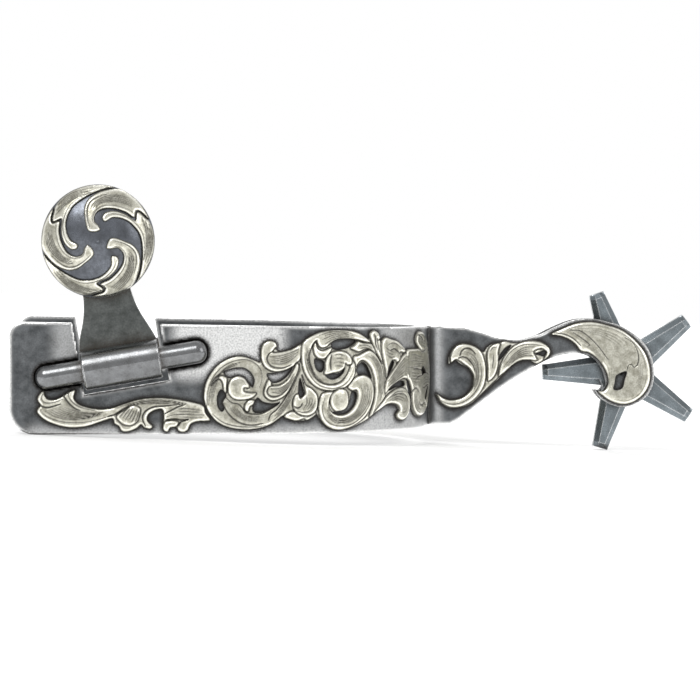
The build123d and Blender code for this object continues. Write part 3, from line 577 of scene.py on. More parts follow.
# %% Scrollwork on the rear of the band
scroll = Sheet((-11.0, 0.3), (45.6, 23.8), PITCH)
scroll.leaf(SCROLL_OUTLINE, top=0.62)
for leaf in (
    # Small hooks inside the first spiral
    [(-8.6, 11.0), (-7.7, 12.7), (-6.2, 13.2), (-5.1, 12.6), (-5.1, 11.0), (-5.2, 9.4), (-5.9, 9.2), (-5.9, 10.6),
     (-6.3, 12.0), (-7.0, 12.4), (-7.9, 11.8)],
    [(-1.0, 5.2), (-1.1, 6.5), (-0.3, 7.6), (0.9, 7.7), (1.4, 6.9), (0.6, 6.5), (0.0, 6.0), (-0.3, 5.1)],
    # Hooked leaf and the one under it
    [(2.5, 18.2), (2.9, 20.1), (4.3, 21.0), (5.6, 20.8), (6.2, 19.8), (5.6, 19.2), (5.3, 18.4), (7.2, 18.5),
     (9.6, 19.1), (12.2, 20.3), (12.0, 17.6), (10.4, 15.6), (8.2, 14.4), (5.8, 14.0), (3.8, 14.8), (2.8, 16.2)],
    [(3.2, 9.2), (3.6, 11.0), (4.2, 12.2), (5.0, 12.1), (5.0, 11.0), (6.8, 11.0), (8.6, 12.2), (9.8, 14.2),
     (10.8, 16.0), (11.3, 14.4), (10.2, 11.8), (9.0, 9.6), (7.4, 8.2), (5.4, 7.5), (3.9, 8.0)],
    # Bulb leaf and its foot
    [(7.8, 3.9), (9.3, 5.0), (10.6, 5.0), (11.6, 4.3), (13.0, 4.3), (14.8, 5.2), (15.3, 4.4), (14.2, 3.5),
     (13.0, 3.0), (12.4, 3.4), (10.8, 2.9), (9.2, 3.2)],
    [(12.0, 13.2), (12.8, 11.0), (14.2, 10.2), (15.6, 8.6), (15.8, 6.4), (15.0, 4.8), (13.4, 4.0), (11.6, 4.2),
     (10.2, 5.2), (9.8, 6.8), (10.2, 8.4), (11.2, 9.0), (11.5, 8.0), (12.6, 8.8), (12.6, 10.4)],
    # Third spiral
    [(23.4, 10.4), (24.6, 11.8), (26.4, 12.9), (28.4, 12.9), (30.2, 11.8), (31.0, 9.6), (30.8, 7.4), (29.8, 5.2),
     (28.2, 3.4), (25.6, 1.8), (22.6, 0.8), (19.8, 0.8), (17.4, 2.0), (16.1, 4.2), (15.9, 6.6), (16.6, 8.6),
     (17.8, 9.4), (20.2, 9.6), (22.0, 9.8), (21.4, 9.0), (19.4, 8.6), (18.6, 7.2), (18.6, 5.6), (19.8, 4.4),
     (21.8, 4.0), (24.0, 4.8), (25.6, 6.4), (26.2, 8.4), (25.8, 9.6), (24.6, 9.5)],
    # Stem between the spirals, with the leaves at its top
    [(24.2, 19.2), (25.4, 19.9), (26.3, 20.8), (27.8, 20.4), (29.8, 20.4), (31.0, 19.4), (32.2, 17.6), (31.4, 17.4),
     (29.8, 18.8), (28.2, 18.8), (26.6, 18.3), (25.4, 18.6)],
    [(26.5, 17.6), (28.4, 18.4), (29.8, 18.6), (31.6, 17.6), (33.4, 15.4), (34.4, 12.6), (34.6, 9.6), (34.8, 8.2),
     (33.6, 6.4), (31.4, 4.4), (29.6, 3.4), (30.4, 5.4), (31.2, 7.8), (31.4, 10.4), (30.8, 13.2), (29.6, 15.2),
     (27.8, 16.3), (26.6, 16.0), (25.8, 15.0), (25.3, 15.6), (25.0, 17.2)],
    [(30.0, 21.4), (29.9, 22.5), (31.0, 23.1), (32.4, 22.6), (33.0, 21.4), (32.4, 20.9), (32.0, 21.2), (32.3, 19.6),
     (33.1, 17.8), (34.0, 15.6), (33.0, 16.6), (31.4, 18.8)],
    # Second spiral
    [(12.2, 20.6), (14.5, 22.2), (17.5, 23.1), (21.5, 23.3), (25.5, 22.9), (28.5, 21.6), (30.0, 20.4), (28.0, 20.6),
     (25.0, 21.2), (21.5, 21.3), (19.2, 20.6), (18.0, 19.6), (17.0, 19.3), (16.2, 19.5), (15.6, 20.4), (15.4, 21.0),
     (14.2, 19.4), (13.6, 17.2), (14.4, 14.2), (15.4, 12.4), (17.2, 11.2), (19.4, 10.9), (21.6, 11.5), (23.2, 13.0),
     (24.2, 15.0), (24.6, 16.6), (25.4, 15.4), (25.4, 13.4), (24.4, 11.6), (22.6, 10.2), (20.0, 9.6), (17.0, 9.8),
     (14.6, 11.0), (12.8, 13.2), (11.9, 16.0), (11.8, 18.6)],
    [(14.6, 19.6), (14.9, 18.0), (15.8, 17.0), (17.2, 16.8), (18.4, 17.6), (19.0, 18.6), (19.3, 19.4), (18.6, 19.3),
     (17.4, 18.8), (16.4, 18.8), (15.6, 19.4), (15.2, 20.6)],
    # Leaves that lead to the flower
    [(33.6, 20.4), (34.8, 21.5), (36.8, 21.1), (39.2, 20.6), (41.2, 19.6), (42.8, 18.4), (42.2, 17.8), (40.4, 18.0),
     (40.6, 16.6), (39.4, 15.6), (38.6, 16.2), (37.2, 15.9), (36.2, 14.2), (35.3, 12.2), (34.8, 14.2), (34.2, 16.4),
     (33.6, 18.6)],
    [(34.8, 8.6), (36.6, 10.0), (39.4, 11.2), (42.0, 11.9), (43.6, 11.8), (43.6, 13.5), (43.6, 15.6), (43.4, 17.6),
     (41.6, 17.2), (39.8, 15.6), (37.6, 13.8), (35.6, 12.0), (34.7, 10.4)],
    [(33.6, 6.6), (35.8, 8.3), (38.4, 9.4), (41.0, 9.8), (43.2, 9.2), (44.7, 7.6), (44.9, 5.4), (44.0, 3.4),
     (42.0, 2.3), (39.8, 2.6), (39.0, 3.6), (39.8, 4.3), (40.4, 4.7), (39.8, 5.6), (37.8, 6.2), (35.2, 6.0),
     (32.6, 4.8), (31.0, 4.3)],
):
    scroll.leaf(leaf)
for ball, centre, radius in (
    ([(-4.9, 10.4), (-4.4, 12.1), (-2.8, 13.0), (-1.0, 12.6), (-0.1, 11.2), (-0.2, 10.4), (-1.2, 10.5), (-1.2, 9.6),
      (0.2, 9.3), (1.5, 9.2), (0.6, 8.2), (-1.4, 7.7), (-3.4, 7.9), (-4.6, 9.0)], (-2.7, 10.6), 2.1),
    ([(17.6, 16.0), (18.2, 17.4), (19.6, 18.4), (21.6, 18.6), (23.4, 18.0), (24.5, 16.8), (24.5, 15.6), (23.4, 15.4),
      (22.7, 15.8), (22.5, 14.8), (21.2, 13.9), (19.4, 13.6), (18.4, 13.2), (17.3, 13.5), (17.6, 14.6)],
     (21.0, 16.3), 2.3),
    ([(21.4, 10.0), (23.2, 9.4), (23.7, 7.6), (23.2, 5.6), (21.6, 4.7), (19.9, 5.1), (18.9, 6.6), (19.0, 8.2),
      (20.0, 9.4)], (21.3, 7.4), 2.3),
):
    scroll.leaf(ball, top=0.55)
    scroll.bead(centre, radius, rise=0.28)
for void in SCROLL_VOIDS:
    scroll.gap(void)
for deep in (
    [(-5.4, 8.3), (-4.0, 7.1), (-2.6, 6.8), (-1.6, 5.9), (-0.7, 4.9), (0.9, 4.5), (3.0, 4.7), (5.2, 5.9), (7.0, 7.4)],
    [(-5.9, 6.9), (-5.2, 5.2), (-3.8, 3.6), (-1.8, 2.4), (0.6, 2.0), (3.0, 2.4)],
    [(4.2, 3.0), (4.7, 4.3), (6.2, 5.6), (8.0, 8.0), (9.4, 10.6), (10.8, 13.6), (11.6, 16.4)],
    [(5.3, 18.7), (4.3, 18.0), (3.9, 16.9), (4.4, 15.7), (5.6, 15.0), (7.6, 14.9), (9.4, 15.6)],
    [(5.4, 10.9), (4.4, 10.6), (3.9, 9.6), (4.4, 8.7), (5.6, 8.4), (7.2, 8.9), (8.6, 10.2)],
    [(10.0, 6.2), (10.8, 5.8), (11.6, 6.1), (12.0, 6.9)],
    [(19.2, 17.8), (18.9, 16.0), (19.1, 14.2)],
    [(36.6, 18.5), (38.0, 18.8), (39.4, 18.2), (40.3, 17.5)],
    [(31.0, 22.2), (31.5, 21.5), (31.4, 20.2), (32.2, 18.6)],
):
    scroll.cut(deep, width=0.25, depth=0.3, black=1.0)
for fine in (
    [(-9.6, 6.5), (-9.4, 9.6), (-8.3, 12.6), (-6.4, 14.9), (-3.9, 16.3), (-1.0, 16.8), (1.2, 16.0), (2.5, 14.4),
     (2.7, 12.2), (2.2, 10.4)],
    [(12.6, 18.5), (12.7, 16.0), (13.7, 13.3), (15.5, 11.2), (18.0, 10.2), (20.6, 10.2), (22.9, 11.3), (24.5, 13.3)],
    [(30.2, 9.6), (29.9, 7.4), (28.9, 5.4), (27.0, 3.4), (24.4, 1.9), (21.6, 1.5), (19.0, 2.0), (17.2, 3.6),
     (16.8, 6.0), (17.4, 8.2)],
    [(34.0, 14.0), (34.1, 12.0), (33.9, 9.5), (33.0, 7.2)],
    [(35.2, 19.4), (36.6, 20.1), (38.4, 20.0), (40.2, 19.2)],
    [(35.0, 7.2), (38.0, 8.2), (41.0, 8.5), (43.2, 7.4), (43.6, 5.6), (42.6, 4.3), (41.2, 4.1)],
    [(10.6, 5.2), (12.0, 4.8), (13.6, 5.1), (14.8, 6.2)],
    [(-8.4, 4.6), (-6.0, 2.7), (-3.0, 1.8), (0.4, 1.6), (3.6, 1.9)],
):
    scroll.cut(fine)
for first, last, count in (
    ([(-9.3, 6.0), (-8.9, 9.5), (-7.6, 12.6), (-5.3, 15.0), (-2.5, 16.2), (0.3, 15.8)],
     [(-8.2, 6.5), (-8.1, 9.0), (-6.9, 12.9), (-5.6, 14.2), (-3.5, 15.4), (-1.0, 15.6)], 4),
    ([(-4.8, 7.0), (-3.8, 5.2), (-2.2, 3.8), (0.0, 3.0), (3.0, 3.2)],
     [(-3.2, 6.4), (-2.4, 5.2), (-1.0, 4.2), (1.0, 3.9), (3.2, 4.2)], 4),
    ([(5.2, 3.0), (7.2, 4.8), (9.2, 7.6), (11.0, 11.6)], [(5.8, 4.6), (7.4, 6.3), (8.8, 8.6), (10.4, 12.0)], 4),
    ([(4.6, 17.4), (6.8, 17.6), (9.2, 18.3), (11.5, 19.3)], [(4.9, 16.0), (7.0, 15.8), (9.0, 16.5), (11.2, 18.2)], 5),
    ([(4.8, 10.2), (6.8, 10.3), (8.8, 11.6), (10.2, 14.0)], [(5.2, 9.0), (7.2, 9.3), (8.8, 10.6), (10.6, 13.2)], 4),
    ([(12.9, 8.2), (13.0, 7.0), (12.2, 5.6)], [(15.0, 7.6), (14.6, 6.4), (13.6, 5.4)], 4),
    ([(13.1, 20.2), (12.9, 17.4), (13.6, 14.6), (15.2, 12.2), (17.4, 10.9)],
     [(14.1, 19.4), (13.4, 17.2), (14.1, 15.0), (15.5, 12.9), (17.4, 11.4)], 4),
    ([(16.0, 22.2), (19.0, 22.9), (22.0, 22.9), (25.2, 22.3)],
     [(17.4, 20.2), (19.6, 21.3), (22.5, 21.7), (25.6, 21.6)], 5),
    ([(19.8, 17.6), (21.0, 17.8), (22.4, 17.4)], [(19.6, 15.2), (21.0, 15.2), (22.2, 15.0)], 4),
    ([(28.6, 17.6), (31.0, 16.0), (32.4, 13.2), (32.6, 10.0), (31.8, 7.0)],
     [(29.4, 17.9), (32.0, 16.0), (33.3, 13.2), (33.4, 10.0), (32.8, 7.0)], 3),
    ([(27.8, 11.8), (29.4, 9.8), (29.3, 7.6), (28.3, 5.6), (26.2, 3.6), (23.6, 2.4), (20.6, 2.2), (18.2, 3.4),
      (17.6, 5.8)],
     [(26.6, 11.4), (27.2, 9.6), (27.3, 7.8), (26.4, 5.8), (24.8, 4.0), (22.6, 3.2), (20.2, 3.3), (18.4, 4.6),
      (18.0, 6.6)], 5),
    ([(35.6, 11.4), (38.2, 13.6), (41.0, 15.9), (42.6, 16.8)],
     [(35.8, 10.0), (38.6, 11.5), (41.0, 12.4), (42.6, 12.9)], 6),
    ([(36.0, 7.6), (39.0, 8.9), (42.0, 8.8)], [(36.4, 6.8), (39.2, 7.3), (41.8, 6.6)], 4),
    ([(35.0, 17.6), (36.4, 16.9), (38.0, 17.0)], [(34.6, 19.2), (36.0, 18.6), (37.6, 18.0)], 3),
    ([(26.2, 19.6), (28.4, 19.8), (30.4, 19.0)], [(26.4, 19.0), (28.4, 19.2), (30.4, 18.6)], 2),
):
    scroll.shade_lines(first, last, count)
scroll.join((42.2, 12.9), (45.0, 16.6), 0.75)
print("highest of the scrollwork:", round(float(scroll.height.max()), 2), "mm")

# %% [markdown]
# The flower stands where the band has turned almost square to the side, so it is mostly seen from behind.
# Its petals fan out from the leaf before it and end at the root of the shank.

# %% Flower at the heel
flower = Sheet((43.2, 2.4), (60.9, 23.0), PITCH)
flower.leaf(FLOWER_OUTLINE, top=0.72)
flower.join((43.0, 12.8), (44.6, 17.0), 0.7)
flower.leaf([(48.4, 20.4), (48.9, 21.9), (50.4, 22.5), (52.6, 22.4), (55.0, 21.4), (57.0, 19.4), (55.0, 18.2),
             (52.4, 18.0), (50.4, 18.8), (49.2, 19.4)])
flower.leaf([(46.3, 8.6), (46.2, 6.6), (46.9, 4.6), (48.6, 3.3), (51.0, 2.9), (53.6, 3.3), (55.8, 4.6), (54.6, 5.8),
             (52.6, 5.3), (50.8, 5.6), (49.6, 6.6), (50.4, 8.2), (48.4, 9.4)])
for void in FLOWER_VOIDS:
    flower.gap(void)
for deep in (
    [(46.5, 13.9), (49.0, 13.9), (51.4, 13.6)], [(48.2, 11.6), (50.2, 12.1), (52.0, 12.2)],
    [(49.2, 21.8), (50.8, 21.5), (52.8, 20.8)], [(55.4, 12.8), (57.4, 12.6), (59.6, 12.2)],
    [(52.6, 9.6), (54.2, 9.4), (56.2, 9.8), (59.0, 9.9)],
):
    flower.cut(deep, width=0.26, depth=0.32, black=1.0)
for first, last, count in (
    ([(44.4, 17.2), (48.0, 17.2), (51.0, 16.6), (56.5, 16.6)],
     [(44.6, 14.4), (48.0, 14.4), (51.0, 14.5), (57.5, 14.2)], 5),
    ([(45.2, 13.2), (47.6, 13.0), (50.0, 12.8)], [(45.6, 11.2), (48.0, 10.9), (51.0, 10.8)], 4),
    ([(50.0, 20.8), (52.4, 20.6), (55.0, 19.8)], [(50.4, 19.6), (52.6, 19.2), (55.4, 18.9)], 3),
    ([(47.2, 8.0), (47.0, 6.2), (48.4, 4.4), (51.0, 3.6)], [(48.6, 8.0), (48.4, 6.8), (49.4, 5.4), (51.4, 4.6)], 4),
    ([(52.4, 11.2), (55.0, 11.8), (59.0, 11.6)], [(52.8, 10.2), (55.4, 10.6), (59.2, 10.6)], 3),
    ([(57.6, 9.0), (56.8, 7.6), (55.6, 6.2)], [(59.0, 9.0), (58.0, 7.2), (56.4, 5.4)], 3),
):
    flower.shade_lines(first, last, count, tone=0.15)
print("highest of the flower:", round(float(flower.height.max()), 2), "mm")

# %% [markdown]
# The shank carries two leaves. One hooks round the bare disc at the root and runs up the neck,
# the other starts under the neck's top and rolls over the fork's cheek, with a torn edge cut into it.

# %% Leaves on the shank
neck_leaf = Sheet((45.3, 3.6), (73.8, 20.6), PITCH)
neck_leaf.leaf(LEAF_OUTLINE, top=0.7)
neck_leaf.leaf([(61.0, 11.4), (61.2, 14.0), (62.6, 16.8), (64.6, 18.8), (67.4, 19.9), (70.6, 19.8), (72.6, 18.7),
                (73.2, 17.4), (72.6, 16.2), (71.6, 15.6), (72.2, 17.2), (71.0, 18.2), (69.2, 17.4), (70.0, 15.4),
                (68.2, 15.5), (66.0, 15.3), (63.8, 13.9)])
neck_leaf.leaf([(58.2, 10.6), (58.2, 13.6), (58.0, 16.4), (58.4, 18.0), (59.6, 19.1), (61.2, 19.4), (60.8, 17.4),
                (60.9, 15.0), (60.4, 12.6), (59.4, 11.0)])
neck_leaf.leaf([(46.0, 7.4), (46.5, 6.1), (47.6, 5.0), (49.6, 4.2), (52.0, 4.4), (54.4, 5.6), (56.4, 7.6), (57.6, 10.0),
                (57.9, 12.8), (57.5, 15.6), (56.6, 17.6), (55.0, 18.8), (53.2, 19.3), (51.4, 19.1), (50.0, 18.0),
                (49.2, 16.4), (49.4, 14.9), (50.0, 15.1), (50.8, 15.6), (52.4, 14.6), (53.9, 13.4), (54.8, 11.6),
                (54.7, 9.4), (53.7, 7.7), (51.9, 6.4), (49.5, 6.0), (47.6, 6.5)])
for void in LEAF_VOIDS:
    neck_leaf.gap(void)
for deep in (
    [(51.2, 15.9), (52.3, 16.2), (53.4, 15.8), (54.6, 14.4), (55.3, 12.6)],
    [(51.6, 16.4), (51.9, 17.4), (52.9, 18.2), (54.2, 18.0), (55.4, 16.8)],
    [(54.6, 5.2), (57.2, 7.7), (59.6, 10.1), (62.0, 12.4)],
):
    neck_leaf.cut(deep, width=0.25, depth=0.3, black=1.0)
for fine in (
    [(46.9, 5.9), (48.4, 5.2), (50.6, 5.0), (53.0, 5.8), (55.0, 7.5), (56.3, 9.8), (56.8, 12.4), (56.4, 15.0)],
    [(58.9, 17.6), (59.5, 18.4), (60.4, 18.5)], [(59.6, 17.0), (59.6, 15.4), (59.3, 13.4)],
    [(61.8, 14.6), (63.6, 17.2), (66.0, 18.8), (68.6, 19.2), (71.0, 18.9)],
):
    neck_leaf.cut(fine)
neck_leaf.shade_lines([(52.8, 17.6), (55.2, 16.2), (56.0, 13.4), (55.9, 10.4), (54.8, 8.2)],
                      [(53.6, 16.3), (54.9, 14.8), (55.5, 12.8), (55.3, 10.4), (54.4, 8.6)], 3)
neck_leaf.shade_lines([(62.2, 13.8), (64.4, 16.6), (67.0, 18.4), (70.0, 18.6)],
                      [(63.2, 14.0), (65.4, 15.8), (67.6, 16.6), (69.4, 16.4)], 5)

cheek_leaf = Sheet((72.9, 4.5), (97.7, 24.9), PITCH)
cheek_leaf.leaf(CAP_OUTLINE, top=0.72, edge=0.3, rim=0.9)
for void in CAP_VOIDS:
    cheek_leaf.gap(void)
for deep in (
    [(91.0, 20.8), (93.0, 19.4), (94.0, 17.6), (94.3, 15.8), (94.0, 14.3), (93.2, 13.7), (92.6, 14.4), (91.8, 14.0),
     (91.5, 12.9)],
    [(77.8, 22.6), (80.2, 22.4), (82.4, 20.9), (84.6, 18.7), (87.2, 15.2)],
    [(78.6, 22.0), (80.4, 20.8), (81.9, 19.7), (82.5, 19.0), (82.0, 18.5)],
    [(74.2, 21.9), (76.4, 21.6), (78.6, 20.6), (80.4, 18.9)],
):
    cheek_leaf.cut(deep, width=0.18, depth=0.26, black=1.0)
cheek_leaf.cut([(76.0, 22.4), (80.0, 23.5), (84.4, 23.7), (88.6, 22.6), (92.2, 20.4), (94.9, 17.2), (96.1, 13.0),
                (95.7, 9.4), (94.0, 6.9), (91.2, 5.7), (88.6, 6.1)], width=0.12, depth=0.1, black=0.7)
for first, last, count in (
    ([(79.0, 23.0), (84.0, 23.0), (89.0, 21.4), (92.2, 18.9)],
     [(81.0, 22.2), (85.0, 21.4), (88.6, 19.4), (91.0, 16.8)], 4),
    ([(86.8, 14.2), (87.4, 11.6), (87.2, 8.8)], [(88.6, 13.6), (88.3, 12.0), (88.0, 9.2)], 3),
    ([(80.8, 19.3), (83.4, 17.6), (85.6, 14.8)], [(82.6, 19.0), (84.6, 17.2), (86.6, 14.2)], 3),
    ([(95.0, 15.8), (95.2, 12.6), (94.4, 9.2)], [(94.2, 14.2), (94.4, 12.0), (93.6, 9.4)], 3),
):
    cheek_leaf.shade_lines(first, last, count, black=0.6)
print("highest of the cheek leaf:", round(float(cheek_leaf.height.max()), 2), "mm")

# %% [markdown]
# The button's dome is covered by three pairs of leaves that swirl like a pinwheel.
# One pair is drawn and the other two are the same turned by a third, as a die-sinker would strike them.

# %% Pinwheel on the button
swirl = Sheet((-12.9, -12.9), (12.9, 12.9), PITCH)


def turned(points, thirds):
    """Points turned about the button's centre."""
    angle = 2 * math.pi * thirds / 3
    c, s = math.cos(angle), math.sin(angle)
    return [(c * u - s * v, s * u + c * v) for u, v in points]


for third in range(3):
    swirl.leaf(turned([
        (1.7, 4.9), (2.5, 5.9), (4.5, 6.1), (6.8, 5.1), (8.5, 3.5), (9.1, 3.2), (9.3, 4.4), (9.7, 5.0), (10.4, 4.7),
        (11.3, 3.5), (12.1, 2.4), (12.6, 0.0), (12.2, -3.4), (10.9, -6.4), (8.6, -9.3), (6.9, -10.5), (7.8, -9.0),
        (9.1, -5.5), (9.6, -1.8), (9.2, 0.5), (7.8, 2.8), (6.0, 4.1), (4.0, 4.6), (2.3, 4.0)], third), top=0.62,
        edge=0.3)
for third in range(3):
    swirl.leaf(turned([
        (0.9, 2.4), (-0.2, 2.1), (-1.5, 2.4), (-2.0, 3.4), (-2.05, 5.5), (-1.9, 7.5), (-1.0, 9.2), (0.8, 10.4),
        (3.5, 11.0), (6.8, 10.7), (9.2, 8.7), (10.8, 6.6), (12.2, 3.0), (11.4, 3.8), (10.4, 5.0), (9.5, 5.2),
        (8.8, 3.8), (7.2, 5.3), (4.8, 6.5), (2.5, 6.9), (0.9, 6.4), (0.1, 5.4), (0.0, 4.4), (0.6, 3.5)], third),
        top=0.66, edge=0.3)
for third in range(3):
    swirl.cut(turned([(-1.4, 3.3), (-1.5, 5.4), (-1.2, 7.4), (-0.2, 8.9), (1.6, 9.7), (4.2, 10.1)], third),
              width=0.15, depth=0.16, black=1.0)
    swirl.cut(turned([(0.3, 3.4), (-0.4, 4.6), (0.0, 6.0), (1.0, 7.0), (2.8, 7.5), (5.0, 7.2), (7.4, 6.1), (9.0, 4.8)],
                     third), width=0.12, depth=0.12, black=0.8)
    swirl.cut(turned([(2.4, 5.4), (4.6, 5.4), (6.8, 4.5), (8.6, 2.8), (9.9, 0.4), (10.1, -2.2), (9.5, -5.6)], third),
              width=0.12, depth=0.12, black=0.8)
    swirl.shade_lines(turned([(-0.4, 7.2), (0.4, 8.4), (2.4, 9.3), (5.0, 9.6), (8.0, 8.6), (10.4, 6.6)], third),
                      turned([(0.6, 7.2), (1.6, 8.0), (3.6, 8.3), (6.2, 7.8), (8.4, 6.6), (9.6, 5.8)], third), 5)
    swirl.shade_lines(turned([(10.5, 3.6), (10.9, 0.6), (10.5, -2.8), (9.0, -6.6)], third),
                      turned([(11.9, 1.8), (12.1, -1.2), (11.3, -4.2), (9.6, -7.4)], third), 5)
reach = np.hypot(*np.meshgrid(swirl.u, swirl.v, indexing="ij"))
swirl.inside = np.minimum(swirl.inside, BUTTON_R - 0.05 - reach)
print("highest of the pinwheel:", round(float(swirl.height.max()), 2), "mm")


# %% [markdown]
# The band itself is drawn in the same way, unrolled into one long strip from the left front end, round the heel,
# to the right front end. Its outline has two rounded corners in front and a notch where the hinge barrel swings,
# and a shallow slot holds the pin. Drawing it again, finer than the frame has it, gives the blackening
# round the silver, the black and painted shade in the pin's slot, and the patches painted bright as rubbed wear
# and painted highlight somewhere to live: every point knows how far it is from both.

# %% Heel band, unrolled
BAND_FRONT = 53.9
BAND_FRONT_H = 25.4
BAND_DROP = 1.8 / (BAND_FRONT + BAND_OUT_R)
LOW_CORNER_R = 5.7
TOP_CORNER_R = 3.6
BAND_EDGE_R = 0.45
NOTCH = (-9.3, 10.05, -5.3)
SLOT_HALF = 19.8
SLOT_R = 3.0
SLOT_DEPTH = 1.2
HALO = 0.7
STAND_IN = 0.02
# Places painted bright, part rubbed wear and part painted highlight: first and last along the strip, lowest and
# highest, how bright
WEAR_AND_HIGHLIGHT = ((-17.0, 8.0, 12.5, 26.0, 0.75), (-44.0, -38.0, 16.0, 26.0, 0.32), (34.0, 58.0, 16.5, 26.0, 0.5),
        (-50.0, 60.0, -1.0, 1.4, 0.6), (22.0, 50.0, -2.0, 5.0, 0.5))
WEAR_AND_HIGHLIGHT_FADE = 4.5
half_length = math.pi * BAND_OUT_R / 2
strip = Sheet((-BAND_FRONT - 0.7, -0.7), (2 * half_length + BAND_FRONT + 0.7, BAND_FRONT_H + 0.7), 0.36)
gs, gz = np.meshgrid(strip.u, strip.v, indexing="ij")
folded = np.where(gs > half_length, 2 * half_length - gs, gs)
gx = np.where(folded < 0, folded, BAND_OUT_R * np.sin(folded / BAND_OUT_R))
strip.inside = np.minimum.reduce([folded + BAND_FRONT, gz, BAND_FRONT_H - BAND_DROP * (gx + BAND_FRONT) - gz])
for radius, corner_z, below in ((LOW_CORNER_R, LOW_CORNER_R, True),
                                (TOP_CORNER_R, BAND_FRONT_H - TOP_CORNER_R, False)):
    in_corner = (folded < radius - BAND_FRONT) & ((gz < corner_z) if below else (gz > corner_z))
    to_centre = np.hypot(folded + BAND_FRONT - radius, gz - corner_z)
    strip.inside = np.where(in_corner, radius - to_centre, strip.inside)
pin_u = (gx - PIN[0]) * math.cos(PIN_TILT) + (gz - PIN[2]) * math.sin(PIN_TILT)
pin_v = (gz - PIN[2]) * math.cos(PIN_TILT) - (gx - PIN[0]) * math.sin(PIN_TILT)
in_notch = np.minimum.reduce([pin_u - NOTCH[0], NOTCH[1] - pin_u, pin_v - NOTCH[2]])
strip.inside = np.minimum(strip.inside, -in_notch) - STAND_IN
in_slot = SLOT_R - np.hypot(np.maximum(np.abs(pin_u) - (SLOT_HALF - SLOT_R), 0), pin_v)


def eased(inside, radius):
    """How far a filed corner falls away at each depth inside the outline."""
    left = 1 - np.clip(inside / radius, 0, 1)
    return -radius * (1 - np.sqrt(1 - left**2))


strip.height = eased(strip.inside, BAND_EDGE_R) - SLOT_DEPTH * np.clip(in_slot / 0.3, 0, 1)
# The pin's slot and a rim round it are painted black, part wax and part painted shade under the pin
strip.ink = np.exp(-((np.minimum(in_slot, 0) / 0.6) ** 2))
strip.wear_and_highlight = np.zeros_like(gs)
# Soft patches along the top and bottom painted bright, part rubbed wear and part painted highlight
for first, last, low, high, amount in WEAR_AND_HIGHLIGHT:
    fades = [np.clip(reach / WEAR_AND_HIGHLIGHT_FADE + 0.5, 0, 1) for reach in (folded - first, last - folded, gz - low, high - gz)]
    strip.wear_and_highlight = np.maximum(strip.wear_and_highlight, amount * np.prod([fade * fade * (3 - 2 * fade) for fade in fades], axis=0))
strip.wear_and_highlight *= 1 - strip.ink


def silver_distance(sheet, u, v):
    """Distance from points of a drawing to the silver's outline."""
    off = np.hypot(u - np.clip(u, sheet.u[0], sheet.u[-1]), v - np.clip(v, sheet.v[0], sheet.v[-1]))
    return np.maximum(-inside_at(sheet, u, v), 0) + off


for sheet in (spray, scroll, flower):
    strip.ink = np.maximum(strip.ink, np.exp(-((silver_distance(sheet, folded, gz) / HALO) ** 2)))
print("band plate:", strip.inside.shape, "points")


# %% [markdown]
# The shank is drawn from the side and given its width by the seat it was read from. It is forged as two mirrored
# halves that meet in the middle plane and stand apart where the rowel turns between the cheeks.
# Its corners are filed round, and the rim of the cheek is painted brightest of all, a painted highlight
# along its rounded edge.

# %% Shank, drawn from the side
SHANK_TOP = [
    (53.1, 23.1), (56.6, 22.1), (60.2, 20.9), (63.8, 20.2), (67.3, 20.3), (70.9, 21.5), (74.4, 23.2),
    (78.9, 24.9), (83.7, 25.2), (87.0, 24.5), (90.6, 23.3), (95.1, 20.2), (97.4, 16.8), (98.2, 12.4),
    (97.5, 8.3), (95.4, 5.9), (92.6, 4.5), (90.0, 4.2), (87.5, 4.9), (85.3, 6.5), (84.0, 8.5),
]
SHANK_UNDER = [
    (84.0, 8.5), (85.5, 7.9), (86.6, 9.3), (86.4, 11.3), (85.4, 13.8), (83.6, 15.9), (80.8, 16.9),
    (77.5, 16.9), (74.4, 16.2), (71.2, 14.8), (66.1, 11.9), (61.4, 8.8), (54.2, 3.5), (51.6, 1.5),
    (49.3, 0.3),
]
FORK_SLOT_X = 70.5
FORK_HALF_GAP = 2.2
neck = Sheet((42.8, -0.3), (98.8, 25.8), 0.3)
neck_line = np.vstack([[(43.2, 0.3), (43.2, 23.6), (46.0, 23.5)], smooth(SHANK_TOP), smooth(SHANK_UNDER)])
neck_x, neck_z = np.meshgrid(neck.u, neck.v, indexing="ij")
neck.inside = neck.depth_in(neck_line, neck_x, neck_z)
neck.height = eased(neck.inside, 0.7)
for sheet in (neck_leaf, cheek_leaf):
    neck.ink = np.maximum(neck.ink, np.exp(-((silver_distance(sheet, neck_x, neck_z) / HALO) ** 2)))
# A dark band painted along the shank's root, where it meets the band: painted shade in the fillet
neck.ink = np.maximum(neck.ink, 0.9 * np.exp(-(((neck_x - 44.2) / 0.7) ** 2)))
# The cheek's rim and a stripe at the shank's root are painted bright: painted highlights
on_rim = np.clip((neck_x - 86) / 6, 0, 1) * np.exp(-((neck.inside / 0.8) ** 2))
root_shine = 0.3 * np.exp(-(((neck_x - 46.4) / 1.4) ** 2))
neck.wear_and_highlight = np.maximum(0.9 * on_rim, root_shine)


